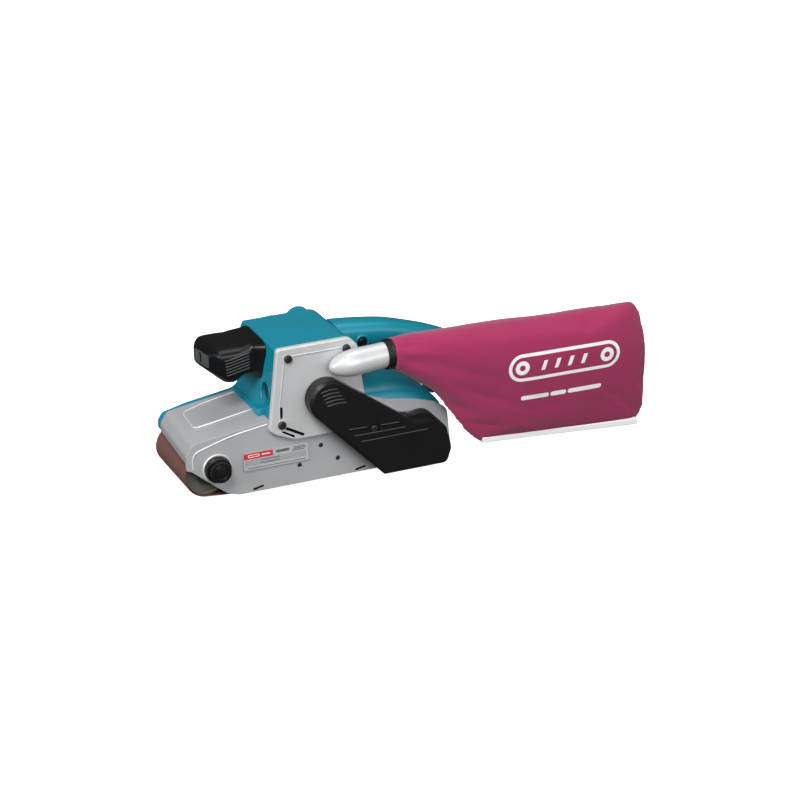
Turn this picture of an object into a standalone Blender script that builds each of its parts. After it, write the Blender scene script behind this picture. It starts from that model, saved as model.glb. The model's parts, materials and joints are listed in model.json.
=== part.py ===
"""Handheld belt sander with its dust bag, as separate named pieces.

Frame: the origin is at the middle of the sanding face. +X points to the rear, where the handle and the
dust bag are, +Y to the tool's right-hand side and +Z up. All lengths are in metres.
"""

import math

import bmesh
import bpy
from mathutils import Matrix, Vector

# Sanding belt and rollers
BELT_HALF_WIDTH = 0.050
BELT_THICKNESS = 0.0010
AXLE_HEIGHT = 0.027
FRONT_AXLE_X = -0.1165
REAR_AXLE_X = 0.1165
FRONT_ROLLER_RADIUS = 0.0225
REAR_ROLLER_RADIUS = 0.0240
PLATEN_HALF_LENGTH = 0.084
ROLLER_HALF_WIDTH = 0.0475
FRONT_BELT_CLEARANCE = 0.0005

# Motor and drive
MOTOR_X = 0.014
MOTOR_Z = 0.098
SHAFT_RADIUS = 0.005
DRIVE_SHAFT_RADIUS = 0.006
MOTOR_PULLEY_TEETH = 10
DRIVEN_PULLEY_TEETH = 20
TOOTH_PITCH = 0.005
TOOTH_DEPTH = 0.0016
PULLEY_NEAR_Y = -0.0805
PULLEY_FAR_Y = -0.0710

# Casting and housings: where their faces stand across the tool
WALL_OUTER_Y = -0.060
WALL_INNER_Y = -0.056
DECK_RIGHT_Y = 0.046
PLATE_OUTER_Y = -0.066
COVER_OUTER_Y = -0.084
COVER_BOSS_Y = -0.070
HOUSING_RIGHT_Y = 0.042
FLANGE_RIGHT_Y = 0.050
MOTOR_END_Y = 0.105
HANDLE_HALF_WIDTH = 0.019

# Dust outlet and bag
OUTLET_Y = -0.076
OUTLET_Z = 0.137
OUTLET_RADIUS = 0.015
OUTLET_END_X = 0.080
BAG_NEAR_Y = -0.1035
BAG_FAR_Y = -0.0565

# Small fits
GAP = 0.0003
PIN_FIT = 0.0003
SHELL = 0.0024
FOIL_THICKNESS = 0.0005

STEPS_ROUND = 24
STEPS_SMALL = 16
STEPS_HOLE = 12

Y_AXIS_OUTLINE = Matrix(((1, 0, 0), (0, 0, -1), (0, 1, 0)))
X_AXIS_OUTLINE = Matrix(((0, 0, 1), (1, 0, 0), (0, 1, 0)))
Z_AXIS_OUTLINE = Matrix.Identity(3)
OUTLINE_TURNS = {"X": X_AXIS_OUTLINE, "Y": Y_AXIS_OUTLINE, "Z": Z_AXIS_OUTLINE}

Y_AXIS_TURNED = Matrix(((1, 0, 0), (0, 0, 1), (0, -1, 0)))
X_AXIS_TURNED = Matrix(((0, 0, 1), (0, 1, 0), (-1, 0, 0)))
TURNED_TURNS = {"X": X_AXIS_TURNED, "Y": Y_AXIS_TURNED, "Z": Matrix.Identity(3)}


# ---------------------------------------------------------------- scene helpers


def clear_scene():
    for obj in list(bpy.data.objects):
        bpy.data.objects.remove(obj, do_unlink=True)


def new_collection(name):
    made = bpy.data.collections.new(name)
    bpy.context.scene.collection.children.link(made)
    return made


def linear(channel):
    """A display colour channel from 0 to 255 as linear light."""
    value = channel / 255
    return value / 12.92 if value <= 0.04045 else ((value + 0.055) / 1.055) ** 2.4


def make_material(name, colour, roughness, metallic=0.0):
    material = bpy.data.materials.new(name)
    material.use_nodes = True
    shader = material.node_tree.nodes["Principled BSDF"]
    red, green, blue = colour
    shader.inputs["Base Color"].default_value = (linear(red), linear(green), linear(blue), 1)
    shader.inputs["Roughness"].default_value = roughness
    shader.inputs["Metallic"].default_value = metallic
    return material


def make_materials():
    return {
        "teal_plastic": make_material("teal_plastic", (27, 138, 158), 0.42),
        "cast_silver": make_material("cast_silver", (191, 193, 192), 0.45, 0.6),
        "black_plastic": make_material("black_plastic", (24, 24, 27), 0.5),
        "black_rubber": make_material("black_rubber", (20, 20, 21), 0.8),
        "bare_steel": make_material("bare_steel", (170, 170, 172), 0.3, 1.0),
        "dark_steel": make_material("dark_steel", (58, 56, 52), 0.45, 0.8),
        "copper": make_material("copper", (176, 98, 62), 0.35, 1.0),
        "carbon": make_material("carbon", (38, 38, 40), 0.75),
        "abrasive": make_material("abrasive", (113, 78, 72), 0.95),
        "bag_cloth": make_material("bag_cloth", (150, 52, 90), 0.9),
        "white_plastic": make_material("white_plastic", (226, 226, 222), 0.4),
        "plate_foil": make_material("plate_foil", (205, 205, 205), 0.35, 0.5),
    }


# --------------------------------------------------------------- outline helpers


def arc(centre, radius, start, end, steps):
    """Points from the angle start to the angle end, in degrees, both included."""
    points = []
    for step in range(steps + 1):
        angle = math.radians(start + (end - start) * step / steps)
        points.append((centre[0] + radius * math.cos(angle), centre[1] + radius * math.sin(angle)))
    return points


def circle(centre, radius, steps=STEPS_ROUND):
    return arc(centre, radius, 0, 360, steps)[:-1]


def rectangle(low, high):
    return [(low[0], low[1]), (high[0], low[1]), (high[0], high[1]), (low[0], high[1])]


def rounded(corners, steps=3, closed=True):
    """Corners (u, v, radius) as points, each corner with a radius turned into an arc."""
    points = []
    count = len(corners)
    for index, (u, v, radius) in enumerate(corners):
        here = Vector((u, v))
        if radius == 0 or (not closed and index in (0, count - 1)):
            points.append((u, v))
            continue
        before = Vector(corners[index - 1][:2]) - here
        after = Vector(corners[(index + 1) % count][:2]) - here
        half_angle = before.angle(after) / 2
        reach = radius / math.tan(half_angle)
        start = here + before.normalized() * reach
        end = here + after.normalized() * reach
        bisector = (before.normalized() + after.normalized()).normalized()
        centre = here + bisector * (radius / math.sin(half_angle))
        first = math.atan2(start.y - centre.y, start.x - centre.x)
        sweep = math.atan2(end.y - centre.y, end.x - centre.x) - first
        sweep = (sweep + math.pi) % (2 * math.pi) - math.pi
        for step in range(steps + 1):
            angle = first + sweep * step / steps
            points.append((centre.x + radius * math.cos(angle), centre.y + radius * math.sin(angle)))
    return points


def hull(points):
    """The convex outline round the points, anticlockwise."""
    ordered = sorted(set(points))

    def chain(run):
        kept = []
        for point in run:
            while len(kept) > 1 and (
                (kept[-1][0] - kept[-2][0]) * (point[1] - kept[-2][1])
                - (kept[-1][1] - kept[-2][1]) * (point[0] - kept[-2][0])
            ) <= 1e-12:
                kept.pop()
            kept.append(point)
        return kept[:-1]

    return chain(ordered) + chain(ordered[::-1])


def offset(points, distance, closed=True):
    """The line moved sideways by distance, to the left of its direction, with mitred corners."""
    moved = []
    count = len(points)
    for index, point in enumerate(points):
        here = Vector(point)
        before = Vector(points[index - 1]) if closed or index > 0 else None
        after = Vector(points[(index + 1) % count]) if closed or index < count - 1 else None
        sides = []
        if before is not None:
            sides.append((here - before).normalized())
        if after is not None:
            sides.append((after - here).normalized())
        normals = [Vector((-side.y, side.x)) for side in sides]
        mean = sum(normals, Vector((0, 0))).normalized()
        moved.append(tuple(here + mean * (distance / max(mean.dot(normals[0]), 0.3))))
    return moved


def band(points, thickness):
    """A closed outline along an open line, with its thickness to the right of the line's direction."""
    return points + offset(points, -thickness, closed=False)[::-1]


# ----------------------------------------------------------------- solid helpers


class Workshop:
    """Where finished pieces and cutters go."""

    def __init__(self):
        self.parts = new_collection("belt_sander")
        self.cutters = new_collection("cutters")
        self.cutters.hide_render = True
        self.materials = make_materials()


def settle(shop, source, material=None):
    """The object's evaluated mesh as a plain mesh object of the same name, welded and shaded."""
    graph = bpy.context.evaluated_depsgraph_get()
    graph.update()
    mesh = bpy.data.meshes.new_from_object(source.evaluated_get(graph))
    shape = bmesh.new()
    shape.from_mesh(mesh)
    bmesh.ops.remove_doubles(shape, verts=shape.verts, dist=0.00001)
    bmesh.ops.dissolve_limit(shape, angle_limit=math.radians(0.5), verts=shape.verts, edges=shape.edges)
    bmesh.ops.recalc_face_normals(shape, faces=shape.faces)
    shape.to_mesh(mesh)
    shape.free()
    mesh.shade_smooth()
    mesh.set_sharp_from_angle(angle=math.radians(35))
    name = source.name
    matrix = source.matrix_world.copy()
    bpy.data.objects.remove(source, do_unlink=True)
    made = bpy.data.objects.new(name, mesh)
    made.matrix_world = matrix
    shop.parts.objects.link(made)
    if material:
        mesh.materials.clear()
        mesh.materials.append(shop.materials[material])
    bpy.context.view_layer.update()
    return made


def extruded(shop, name, loops, low, high, axis="Y", material=None, origin=(0, 0, 0)):
    """A solid with a flat outline, from low to high along the axis. Further loops are holes in it.

    The outline's two coordinates are X and Z for the axis Y, X and Y for Z, and Y and Z for X.
    """
    across = {"X": (1, 2, 0), "Y": (0, 2, 1), "Z": (0, 1, 2)}[axis]
    curve = bpy.data.curves.new(name, "CURVE")
    curve.dimensions = "2D"
    curve.fill_mode = "BOTH"
    curve.extrude = (high - low) / 2
    for loop in loops:
        spline = curve.splines.new("POLY")
        spline.points.add(len(loop) - 1)
        for point, (u, v) in zip(spline.points, loop):
            point.co = (u - origin[across[0]], v - origin[across[1]], 0, 1)
        spline.use_cyclic_u = True
    obj = bpy.data.objects.new(name, curve)
    middle = list(origin)
    middle[across[2]] = (low + high) / 2
    obj.matrix_world = Matrix.Translation(middle) @ OUTLINE_TURNS[axis].to_4x4()
    shop.parts.objects.link(obj)
    bpy.context.view_layer.update()
    return settle(shop, obj, material)


def turned(shop, name, profile, axis, at, material=None, closed=False, steps=STEPS_ROUND):
    """A turned solid about an axis through the point at. The profile is (radius, place along the axis).

    It runs down the outer side, from the far end to the near end, and a ring's profile is closed.
    """
    along = "XYZ".index(axis)
    mesh = bpy.data.meshes.new(name)
    points = [(radius, 0, place - at[along]) for radius, place in profile]
    edges = [(i, i + 1) for i in range(len(points) - 1)]
    if closed:
        edges.append((len(points) - 1, 0))
    mesh.from_pydata(points, edges, [])
    obj = bpy.data.objects.new(name, mesh)
    obj.matrix_world = Matrix.Translation(at) @ TURNED_TURNS[axis].to_4x4()
    shop.parts.objects.link(obj)
    screw = obj.modifiers.new("turn", "SCREW")
    screw.steps = steps
    screw.render_steps = steps
    screw.use_merge_vertices = True
    screw.merge_threshold = 0.0001
    bpy.context.view_layer.update()
    return settle(shop, obj, material)


def rod(shop, name, radius, low, high, axis, at, material=None, steps=STEPS_ROUND):
    profile = [(0, high), (radius, high), (radius, low), (0, low)]
    return turned(shop, name, profile, axis, at, material, steps=steps)


def ring(shop, name, inner, outer, low, high, axis, at, material=None, steps=STEPS_ROUND):
    profile = [(inner, high), (outer, high), (outer, low), (inner, low)]
    return turned(shop, name, profile, axis, at, material, closed=True, steps=steps)


def screw_piece(shop, name, head_radius, head_height, shank_radius, tip, head, axis, at):
    """A screw along an axis, its tip and its head's underside at the given places on that axis."""
    if head < tip:
        profile = [(0, tip), (shank_radius, tip), (shank_radius, head), (head_radius, head)]
        profile += [(head_radius, head - head_height), (0, head - head_height)]
    else:
        profile = [(0, head + head_height), (head_radius, head + head_height), (head_radius, head)]
        profile += [(shank_radius, head), (shank_radius, tip), (0, tip)]
    return turned(shop, name, profile, axis, at, "dark_steel", steps=STEPS_SMALL)


def box(shop, name, low, high, material=None):
    """A block between two corners, with its origin at its middle."""
    middle = [(a + b) / 2 for a, b in zip(low, high)]
    shape = bmesh.new()
    bmesh.ops.create_cube(shape, size=1)
    for vert in shape.verts:
        vert.co = Vector([co * (b - a) for co, a, b in zip(vert.co, low, high)])
    mesh = bpy.data.meshes.new(name)
    shape.to_mesh(mesh)
    shape.free()
    obj = bpy.data.objects.new(name, mesh)
    obj.location = middle
    shop.parts.objects.link(obj)
    if material:
        mesh.materials.append(shop.materials[material])
    bpy.context.view_layer.update()
    return obj


def boolean(shop, target, tool, operation):
    """Adds a live Boolean and puts its tool away among the cutters."""
    modifier = target.modifiers.new(tool.name, "BOOLEAN")
    modifier.operation = operation
    modifier.solver = "EXACT"
    modifier.object = tool
    if tool.name in shop.parts.objects:
        shop.parts.objects.unlink(tool)
        shop.cutters.objects.link(tool)
    tool.hide_render = True
    tool.display_type = "WIRE"


def cut(shop, target, *tools):
    for tool in tools:
        boolean(shop, target, tool, "DIFFERENCE")


def join(shop, target, *tools):
    for tool in tools:
        boolean(shop, target, tool, "UNION")


def soften(target, width, segments=2, angle=40):
    """Rounds the object's sharp edges."""
    bevel = target.modifiers.new("soften", "BEVEL")
    bevel.width = width
    bevel.segments = segments
    bevel.limit_method = "ANGLE"
    bevel.angle_limit = math.radians(angle)


def soften_where(target, width, segments, chosen):
    """Rounds only the edges of which the test chosen accepts both ends."""
    mesh = target.data
    weights = mesh.attributes.new("bevel_weight_edge", "FLOAT", "EDGE")
    for edge in mesh.edges:
        ends = [target.matrix_world @ mesh.vertices[index].co for index in edge.vertices]
        weights.data[edge.index].value = float(all(chosen(end) for end in ends))
    bevel = target.modifiers.new("soften", "BEVEL")
    bevel.width = width
    bevel.segments = segments
    bevel.limit_method = "WEIGHT"


def body_empty(shop, name, at, *pieces):
    """An empty on a joint's axis that carries the pieces of one moving body."""
    empty = bpy.data.objects.new(name, None)
    empty.empty_display_size = 0.01
    empty.location = at
    shop.parts.objects.link(empty)
    bpy.context.view_layer.update()
    for piece in pieces:
        piece.parent = empty
        piece.matrix_parent_inverse = empty.matrix_world.inverted()
    return empty


# -------------------------------------------------------------- shared outlines

HOOD_LINE = rounded(
    [
        (-0.1408, 0.0480, 0),
        (-0.1408, 0.0530, 0.004),
        (-0.1330, 0.0680, 0.008),
        (-0.0483, 0.0803, 0),
    ],
    closed=False,
)
GUARD_LINE = rounded(
    [
        (-0.1385, 0.0470, 0),
        (-0.1385, 0.0535, 0.003),
        (-0.1310, 0.0650, 0.008),
        (-0.0485, 0.0790, 0),
    ],
    closed=False,
)
REAR_DECK_LINE = rounded(
    [
        (0.0610, 0.0770, 0),
        (0.0820, 0.0765, 0.030),
        (0.1260, 0.0670, 0.040),
        (0.1590, 0.0530, 0.014),
        (0.1605, 0.0080, 0.005),
        (0.1560, 0.0045, 0),
    ],
    closed=False,
)
FRAME_TOP_Z = 0.0793
HOUSING_TOP_Z = 0.1585
HOUSING_OUTLINE = [
    (-0.0465, FRAME_TOP_Z, 0),
    (0.0590, FRAME_TOP_Z, 0),
    (0.0500, 0.1510, 0.012),
    (0.0430, HOUSING_TOP_Z, 0.010),
    (-0.0380, HOUSING_TOP_Z, 0.002),
]
RECESS_DEPTH = 0.0012
COVER_TOP_END = (MOTOR_X, MOTOR_Z)
COVER_TOP_RADIUS = 0.0215
COVER_BOTTOM_Z = 0.0030
COVER_SCREW = (0.0625, 0.0585)


def cover_outline():
    """Round the motor pulley, down to a valley, over the driven pulley and back along the bottom."""
    corners = [
        (0.0735, 0.0848, 0.040),
        (0.1010, 0.0625, 0.006),
        (0.1260, 0.0640, 0.014),
        (0.1525, 0.0340, 0.016),
        (0.1460, COVER_BOTTOM_Z, 0.006),
        (0.0730, COVER_BOTTOM_Z, 0.003),
    ]
    points = [(x, z, 0) for x, z in arc(COVER_TOP_END, COVER_TOP_RADIUS, 222, 56, 8)]
    return rounded(points + corners)[::-1]


def belt_loop(front_radius, rear_radius, platen_z):
    """A line drawn tight round both rollers and the platen."""
    points = circle((FRONT_AXLE_X, AXLE_HEIGHT), front_radius, 40)
    points += circle((REAR_AXLE_X, AXLE_HEIGHT), rear_radius, 40)
    points += [(-PLATEN_HALF_LENGTH, platen_z), (PLATEN_HALF_LENGTH, platen_z)]
    return hull(points)


def pulley_radius(teeth):
    return teeth * TOOTH_PITCH / (2 * math.pi)


def toothed_outline(centre, teeth):
    """A pulley's outline with one flat tooth and one flat gap for each pitch."""
    outer = pulley_radius(teeth) - GAP
    root = outer - TOOTH_DEPTH
    points = []
    for tooth in range(teeth):
        for share, radius in ((0.0, outer), (0.45, outer), (0.55, root), (0.9, root)):
            angle = 2 * math.pi * (tooth + share) / teeth
            points.append((centre[0] + radius * math.cos(angle), centre[1] + radius * math.sin(angle)))
    return points


# ------------------------------------------------------------ frame and casings

WALL_SCREWS = ((0.0096, 0.0412), (0.0284, 0.0230), (-0.0154, 0.0232))
PLATE_SCREWS = ((-0.0249, 0.1470), (0.0407, 0.1475), (-0.0352, 0.0745))
TRACKING_AT = (-0.1075, 0.0370)
BEAM_FRONT_X = -0.056
BEAM_REAR_X = 0.084
SHAFT_HOLE_RADIUS = 0.0133
WALL_SCREW_HOLE = 0.0019
PLATE_SCREW_HOLE = 0.0025
PLATE_SEAT_RADIUS = 0.0052


def frame_wall(shop):
    corners = [
        (-0.0880, 0.0025, 0.004),
        (-0.1030, 0.0120, 0.006),
        (-0.1280, 0.0300, 0.006),
        (-0.1395, 0.0370, 0.003),
        (-0.1395, 0.0525, 0.004),
        (-0.1322, 0.0668, 0.008),
        (-0.0490, 0.0788, 0),
        (0.0605, 0.0758, 0),
        (0.0820, 0.0752, 0.020),
        (0.1255, 0.0658, 0.030),
        (0.1578, 0.0520, 0.012),
        (0.1593, 0.0100, 0.005),
        (0.1530, 0.0025, 0.004),
    ]
    holes = [
        circle((REAR_AXLE_X, AXLE_HEIGHT), SHAFT_HOLE_RADIUS),
        circle(TRACKING_AT, 0.0035, STEPS_SMALL),
        circle(COVER_SCREW, 0.0022, STEPS_SMALL),
    ]
    loops = [rounded(corners)] + holes
    return extruded(shop, "main_frame", loops, WALL_OUTER_Y, WALL_INNER_Y, "Y", "cast_silver")


def frame_beam(shop):
    """The block between the belt's two runs, with a pocket that opens to the right."""
    beam = box(shop, "frame_beam", (BEAM_FRONT_X, -0.058, 0.0052), (BEAM_REAR_X, 0.044, 0.0455))
    pocket = box(shop, "frame_pocket", (-0.046, -0.046, 0.013), (0.072, 0.050, 0.038))
    guide = rod(shop, "slide_guide", 0.0064, -0.060, -0.040, "X", (0, 0, AXLE_HEIGHT))
    block = box(shop, "arm_block", (0.060, 0.043, 0.0135), (0.0835, 0.0538, 0.0405))
    cut(shop, beam, pocket, guide)
    join(shop, beam, block)
    return beam


def frame_bearing_arm(shop):
    """The arm that holds the drive shaft's right-hand bearing, inside the belt's loop."""
    points = circle((REAR_AXLE_X, AXLE_HEIGHT), 0.012) + rectangle((0.070, 0.016), (0.080, 0.038))
    bore = circle((REAR_AXLE_X, AXLE_HEIGHT), 0.0091)
    return extruded(shop, "bearing_arm", [hull(points), bore], 0.0490, 0.0534)


def frame_boss(shop):
    """The raised rim that the drive cover closes on, behind the side plate's edge."""
    outer = offset(cover_outline(), -0.0004)
    boss = extruded(shop, "cover_boss", [outer, offset(outer, 0.003)], COVER_BOSS_Y, -0.058)
    front = box(shop, "boss_front", (-0.060, -0.080, -0.010), (0.0620, -0.050, 0.150))
    cut(shop, boss, front)
    return boss


def main_frame(shop):
    frame = frame_wall(shop)
    hood = extruded(shop, "hood", [band(HOOD_LINE, 0.0035)], -0.0598, DECK_RIGHT_Y)
    rear = extruded(shop, "rear_deck", [band(REAR_DECK_LINE, 0.0035)], -0.0598, DECK_RIGHT_Y)
    join(shop, frame, hood, rear, frame_beam(shop), frame_bearing_arm(shop), frame_boss(shop))
    for index, (x, z) in enumerate(WALL_SCREWS):
        at = (x, 0, z)
        name = f"wall_screw_hole_{index}"
        hole = rod(shop, name, WALL_SCREW_HOLE, -0.065, -0.0480, "Y", at, steps=STEPS_HOLE)
        cut(shop, frame, hole)
    return frame


def right_guard(shop):
    return extruded(
        shop, "right_guard", [band(GUARD_LINE, 0.0040)], DECK_RIGHT_Y + GAP, 0.0560, "Y", "teal_plastic"
    )


def motor_housing(shop):
    housing = extruded(
        shop, "motor_housing", [rounded(HOUSING_OUTLINE)], WALL_OUTER_Y, HOUSING_RIGHT_Y, "Y", "teal_plastic"
    )
    foot = box(shop, "housing_foot", (-0.0463, WALL_INNER_Y + GAP, 0.0563), (0.0588, 0.0418, 0.0820))
    join(shop, housing, foot)
    centre = (MOTOR_X, 0, MOTOR_Z)
    bore = rod(shop, "stator_bore", 0.0365, -0.048, 0.060, "Y", centre)
    seat = rod(shop, "bearing_seat", 0.0133, -0.070, -0.040, "Y", centre)
    loft = box(shop, "housing_loft", (-0.031, -0.050, 0.1400), (0.039, 0.060, HOUSING_TOP_Z - 0.004))
    cut(shop, housing, bore, seat, loft)
    return housing


def motor_end_cap(shop):
    """The flange over the housing's right side, with a screw boss on top, and the can round the brushes."""
    top_z = HOUSING_TOP_Z - 0.004
    corners = [(-0.0440, 0.0573, 0.003), (0.0580, 0.0573, 0.003)]
    corners += [(0.0508, 0.1470, 0.008), (0.0470, top_z, 0.004)]
    corners += [(u, v, 0) for u, v in arc((0.0290, 0.1460), 0.0150, 36, 144, 8)]
    corners += [(-0.0360, top_z, 0.006)]
    outline = rounded(corners)
    centre = (MOTOR_X, MOTOR_Z)
    flange = extruded(
        shop,
        "motor_end_cap",
        [outline, circle(centre, 0.0375)],
        HOUSING_RIGHT_Y + GAP,
        FLANGE_RIGHT_Y,
        "Y",
        "teal_plastic",
    )
    profile = [(0, MOTOR_END_Y), (0.026, MOTOR_END_Y), (0.036, 0.102), (0.0405, 0.094), (0.042, 0.084)]
    profile += [(0.042, 0.0450), (0.0385, 0.0450), (0.0385, 0.0980), (0.0150, 0.0980), (0.0150, 0.0870)]
    profile += [(0.0113, 0.0870), (0.0113, 0.0985), (0, 0.0985)]
    can = turned(shop, "motor_can", profile, "Y", (MOTOR_X, 0, MOTOR_Z))
    brush_way = rod(shop, "brush_way", 0.0073, -0.060, 0.090, "X", (0, BRUSH_Y, MOTOR_Z), steps=STEPS_SMALL)
    vents = []
    for index in range(3):
        angle = math.radians(65 + 25 * index)
        vent = box(shop, f"vent_cutter_{index}", (-0.005, -0.011, -0.0020), (0.005, 0.011, 0.0020))
        vent.location = (MOTOR_X + 0.040 * math.cos(angle), 0.079, MOTOR_Z + 0.040 * math.sin(angle))
        vent.rotation_euler = (0, -angle, 0)
        vents.append(vent)
    join(shop, flange, can)
    cut(shop, flange, brush_way, *vents)
    return flange


def slot_cutter(shop, name, start, end, width, near, far):
    """A slot with square ends between two points of the X-Z plane."""
    length = math.dist(start, end)
    cutter = box(shop, name, (-length / 2, near, -width / 2), (length / 2, far, width / 2))
    middle_y = (near + far) / 2
    cutter.location = ((start[0] + end[0]) / 2, middle_y, (start[1] + end[1]) / 2)
    cutter.rotation_euler = (0, -math.atan2(end[1] - start[1], end[0] - start[0]), 0)
    return cutter


def side_plate(shop):
    """The cast plate on the tool's left side, with the dust outlet that is cast with it."""
    corners = [
        (-0.0493, 0.0690, 0.006),
        (-0.0405, 0.0630, 0.006),
        (-0.0235, 0.0555, 0.004),
        (0.0540, 0.0555, 0.003),
        (0.0575, 0.1050, 0),
        (0.0525, 0.1500, 0.006),
        (0.0440, HOUSING_TOP_Z + 0.001, 0.008),
        (-0.0370, HOUSING_TOP_Z + 0.0005, 0.003),
    ]
    loops = [rounded(corners, 3), circle((MOTOR_X, MOTOR_Z), 0.0090)]
    back = WALL_OUTER_Y - GAP
    plate = extruded(shop, "side_plate", loops, PLATE_OUTER_Y, back, "Y", "cast_silver")
    field = [
        (-0.0330, 0.0800, 0.003),
        (-0.0270, 0.0500, 0),
        (0.0700, 0.0500, 0),
        (0.0700, 0.1080, 0),
        (0.0330, 0.1505, 0.004),
        (-0.0180, 0.1505, 0.003),
        (-0.0180, 0.1390, 0.003),
        (-0.0280, 0.1390, 0.003),
    ]
    recess = extruded(shop, "plate_recess", [rounded(field)], -0.068, PLATE_OUTER_Y + RECESS_DEPTH)
    profile = [(0, OUTLET_END_X), (OUTLET_RADIUS, OUTLET_END_X)]
    profile += [
        (OUTLET_RADIUS * math.sin(math.radians(angle)), 0.040 - 0.022 * math.cos(math.radians(angle)))
        for angle in (90, 70, 50, 30, 12)
    ]
    profile.append((0, 0.018))
    outlet = turned(shop, "dust_outlet", profile, "X", (0, OUTLET_Y, OUTLET_Z))
    bore = rod(shop, "outlet_bore", 0.0125, 0.034, 0.090, "X", (0, OUTLET_Y, OUTLET_Z))
    way_in = box(shop, "outlet_way_in", (0.0345, -0.074, 0.1285), (0.0480, -0.0560, 0.1455))
    slots = (
        slot_cutter(shop, "plate_slot_upright", (-0.0353, 0.0815), (-0.0351, 0.0920), 0.0030, -0.070, -0.056),
        slot_cutter(shop, "plate_slot_long", (-0.0300, 0.0692), (-0.0104, 0.0585), 0.0032, -0.070, -0.056),
        slot_cutter(shop, "plate_slot_short", (-0.0345, 0.0655), (-0.0225, 0.0590), 0.0028, -0.070, -0.056),
    )
    cut(shop, plate, recess, *slots)
    join(shop, plate, outlet)
    cut(shop, plate, bore, way_in)
    for index, (x, z) in enumerate(PLATE_SCREWS, 1):
        at = (x, 0, z)
        way = rod(shop, f"plate_hole_{index}", PLATE_SCREW_HOLE, -0.080, -0.050, "Y", at, steps=STEPS_HOLE)
        seat_y = PLATE_OUTER_Y + 0.0002
        seat = rod(shop, f"plate_seat_{index}", PLATE_SEAT_RADIUS, -0.100, seat_y, "Y", at, steps=STEPS_HOLE)
        cut(shop, plate, way, seat)
    return plate


def belt_cover(shop):
    """The black cover over the drive belt: a face, a rim of uneven depth and a post for its screw."""
    outer = cover_outline()
    back = WALL_OUTER_Y - GAP
    cover = extruded(shop, "belt_cover", [outer], COVER_OUTER_Y, back, "Y", "black_plastic")
    soften(cover, 0.0020, 2, 60)
    inside = extruded(shop, "cover_inside", [offset(outer, SHELL)], COVER_OUTER_Y + SHELL, -0.050)
    over_plate = box(shop, "over_plate", (-0.060, PLATE_OUTER_Y - GAP, 0.0545), (0.0605, -0.050, 0.140))
    over_boss = box(shop, "over_boss", (0.0603, COVER_BOSS_Y - GAP, -0.010), (0.170, -0.050, 0.140))
    x, z = COVER_SCREW
    at = (x, 0, z)
    post = ring(shop, "cover_post", 0.0020, 0.0062, COVER_OUTER_Y + 0.001, back, "Y", at, steps=STEPS_SMALL)
    screw_way = rod(shop, "cover_screw_way", 0.0022, -0.090, -0.050, "Y", at, steps=STEPS_SMALL)
    head_way = rod(shop, "cover_head_way", 0.0046, -0.090, -0.0815, "Y", at, steps=STEPS_SMALL)
    cut(shop, cover, inside, over_plate, over_boss)
    join(shop, cover, post)
    cut(shop, cover, screw_way, head_way)
    return cover


def rear_housing(shop):
    """The teal duct casing on the rear deck, hollow and open underneath."""
    deck = offset(REAR_DECK_LINE, GAP, closed=False)
    under = [(0.0597, deck[0][1])] + [point for point in deck if 0.0600 < point[0] < 0.1530]
    rear_x = 0.1580
    corners = [(rear_x, 0.0557, 0), (rear_x, 0.0660, 0.004), (0.1170, 0.0850, 0.040), (0.0597, 0.0870, 0)]
    top = rounded(corners, closed=False)
    casing = extruded(shop, "rear_housing", [under + top], -0.0550, 0.0420, "Y", "teal_plastic")
    sides = (-0.0550, 0.0420)

    def top_limit(x):
        """A height between the casing's lower and upper edges."""
        return 0.0820 if x < 0.110 else 0.0820 - (x - 0.110) * 0.40

    soften_where(
        casing,
        0.0090,
        3,
        lambda point: min(abs(point.y - side) for side in sides) < 0.0001 and point.z > top_limit(point.x),
    )
    inner = [(0.0640, 0.0600), (0.1450, 0.0450), (0.1500, 0.0645), (0.1160, 0.0810), (0.0640, 0.0830)]
    hollow = extruded(shop, "rear_housing_hollow", [inner], -0.0450, 0.0320)
    cut(shop, casing, hollow)
    return casing


# ------------------------------------------------------------- handles and switch

TRIGGER_PIVOT = (0.0905, 0.1262)
LOCK_AT = (0.0775, 0.1332)
GLAND_Z = 0.0920


def handle_outline():
    """The bow from the motor housing's top to the rear end and down to the duct casing."""
    corners = [
        (0.0443, 0.1580, 0),
        (0.0760, 0.1547, 0.060),
        (0.1300, 0.1438, 0.090),
        (0.1800, 0.1280, 0.060),
        (0.2110, 0.1120, 0.016),
        (0.2125, 0.0840, 0.018),
        (0.1900, 0.0625, 0.016),
        (0.1610, 0.0560, 0.002),
        (0.1584, 0.0560, 0),
        (0.1584, 0.0735, 0.003),
        (0.1740, 0.0790, 0.010),
        (0.1860, 0.0930, 0.010),
        (0.1560, 0.1060, 0.030),
        (0.1080, 0.1190, 0.030),
        (0.0538, 0.1265, 0),
        (0.0507, 0.1512, 0),
    ]
    return rounded(corners)


def handle_half(shop, name, near, far):
    half = extruded(shop, name, [handle_outline()], near, far, "Y", "teal_plastic")
    outer_y = near if near < -0.01 else far
    soften_where(half, 0.0070, 2, lambda point: abs(point.y - outer_y) < 0.0001)
    return half


def handle_cutters(shop):
    """What both halves make room for: trigger, switch and cord gland."""
    trigger_room = box(shop, "trigger_room", (0.0855, -0.0080, 0.0950), (0.1345, 0.0080, 0.1310))
    switch_room = box(shop, "switch_room", (0.0860, -0.0090, 0.1300), (0.1160, 0.0090, 0.1427))
    gland_room = rod(shop, "gland_room", 0.0063, 0.1980, 0.2300, "X", (0, 0, GLAND_Z))
    return trigger_room, switch_room, gland_room


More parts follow.
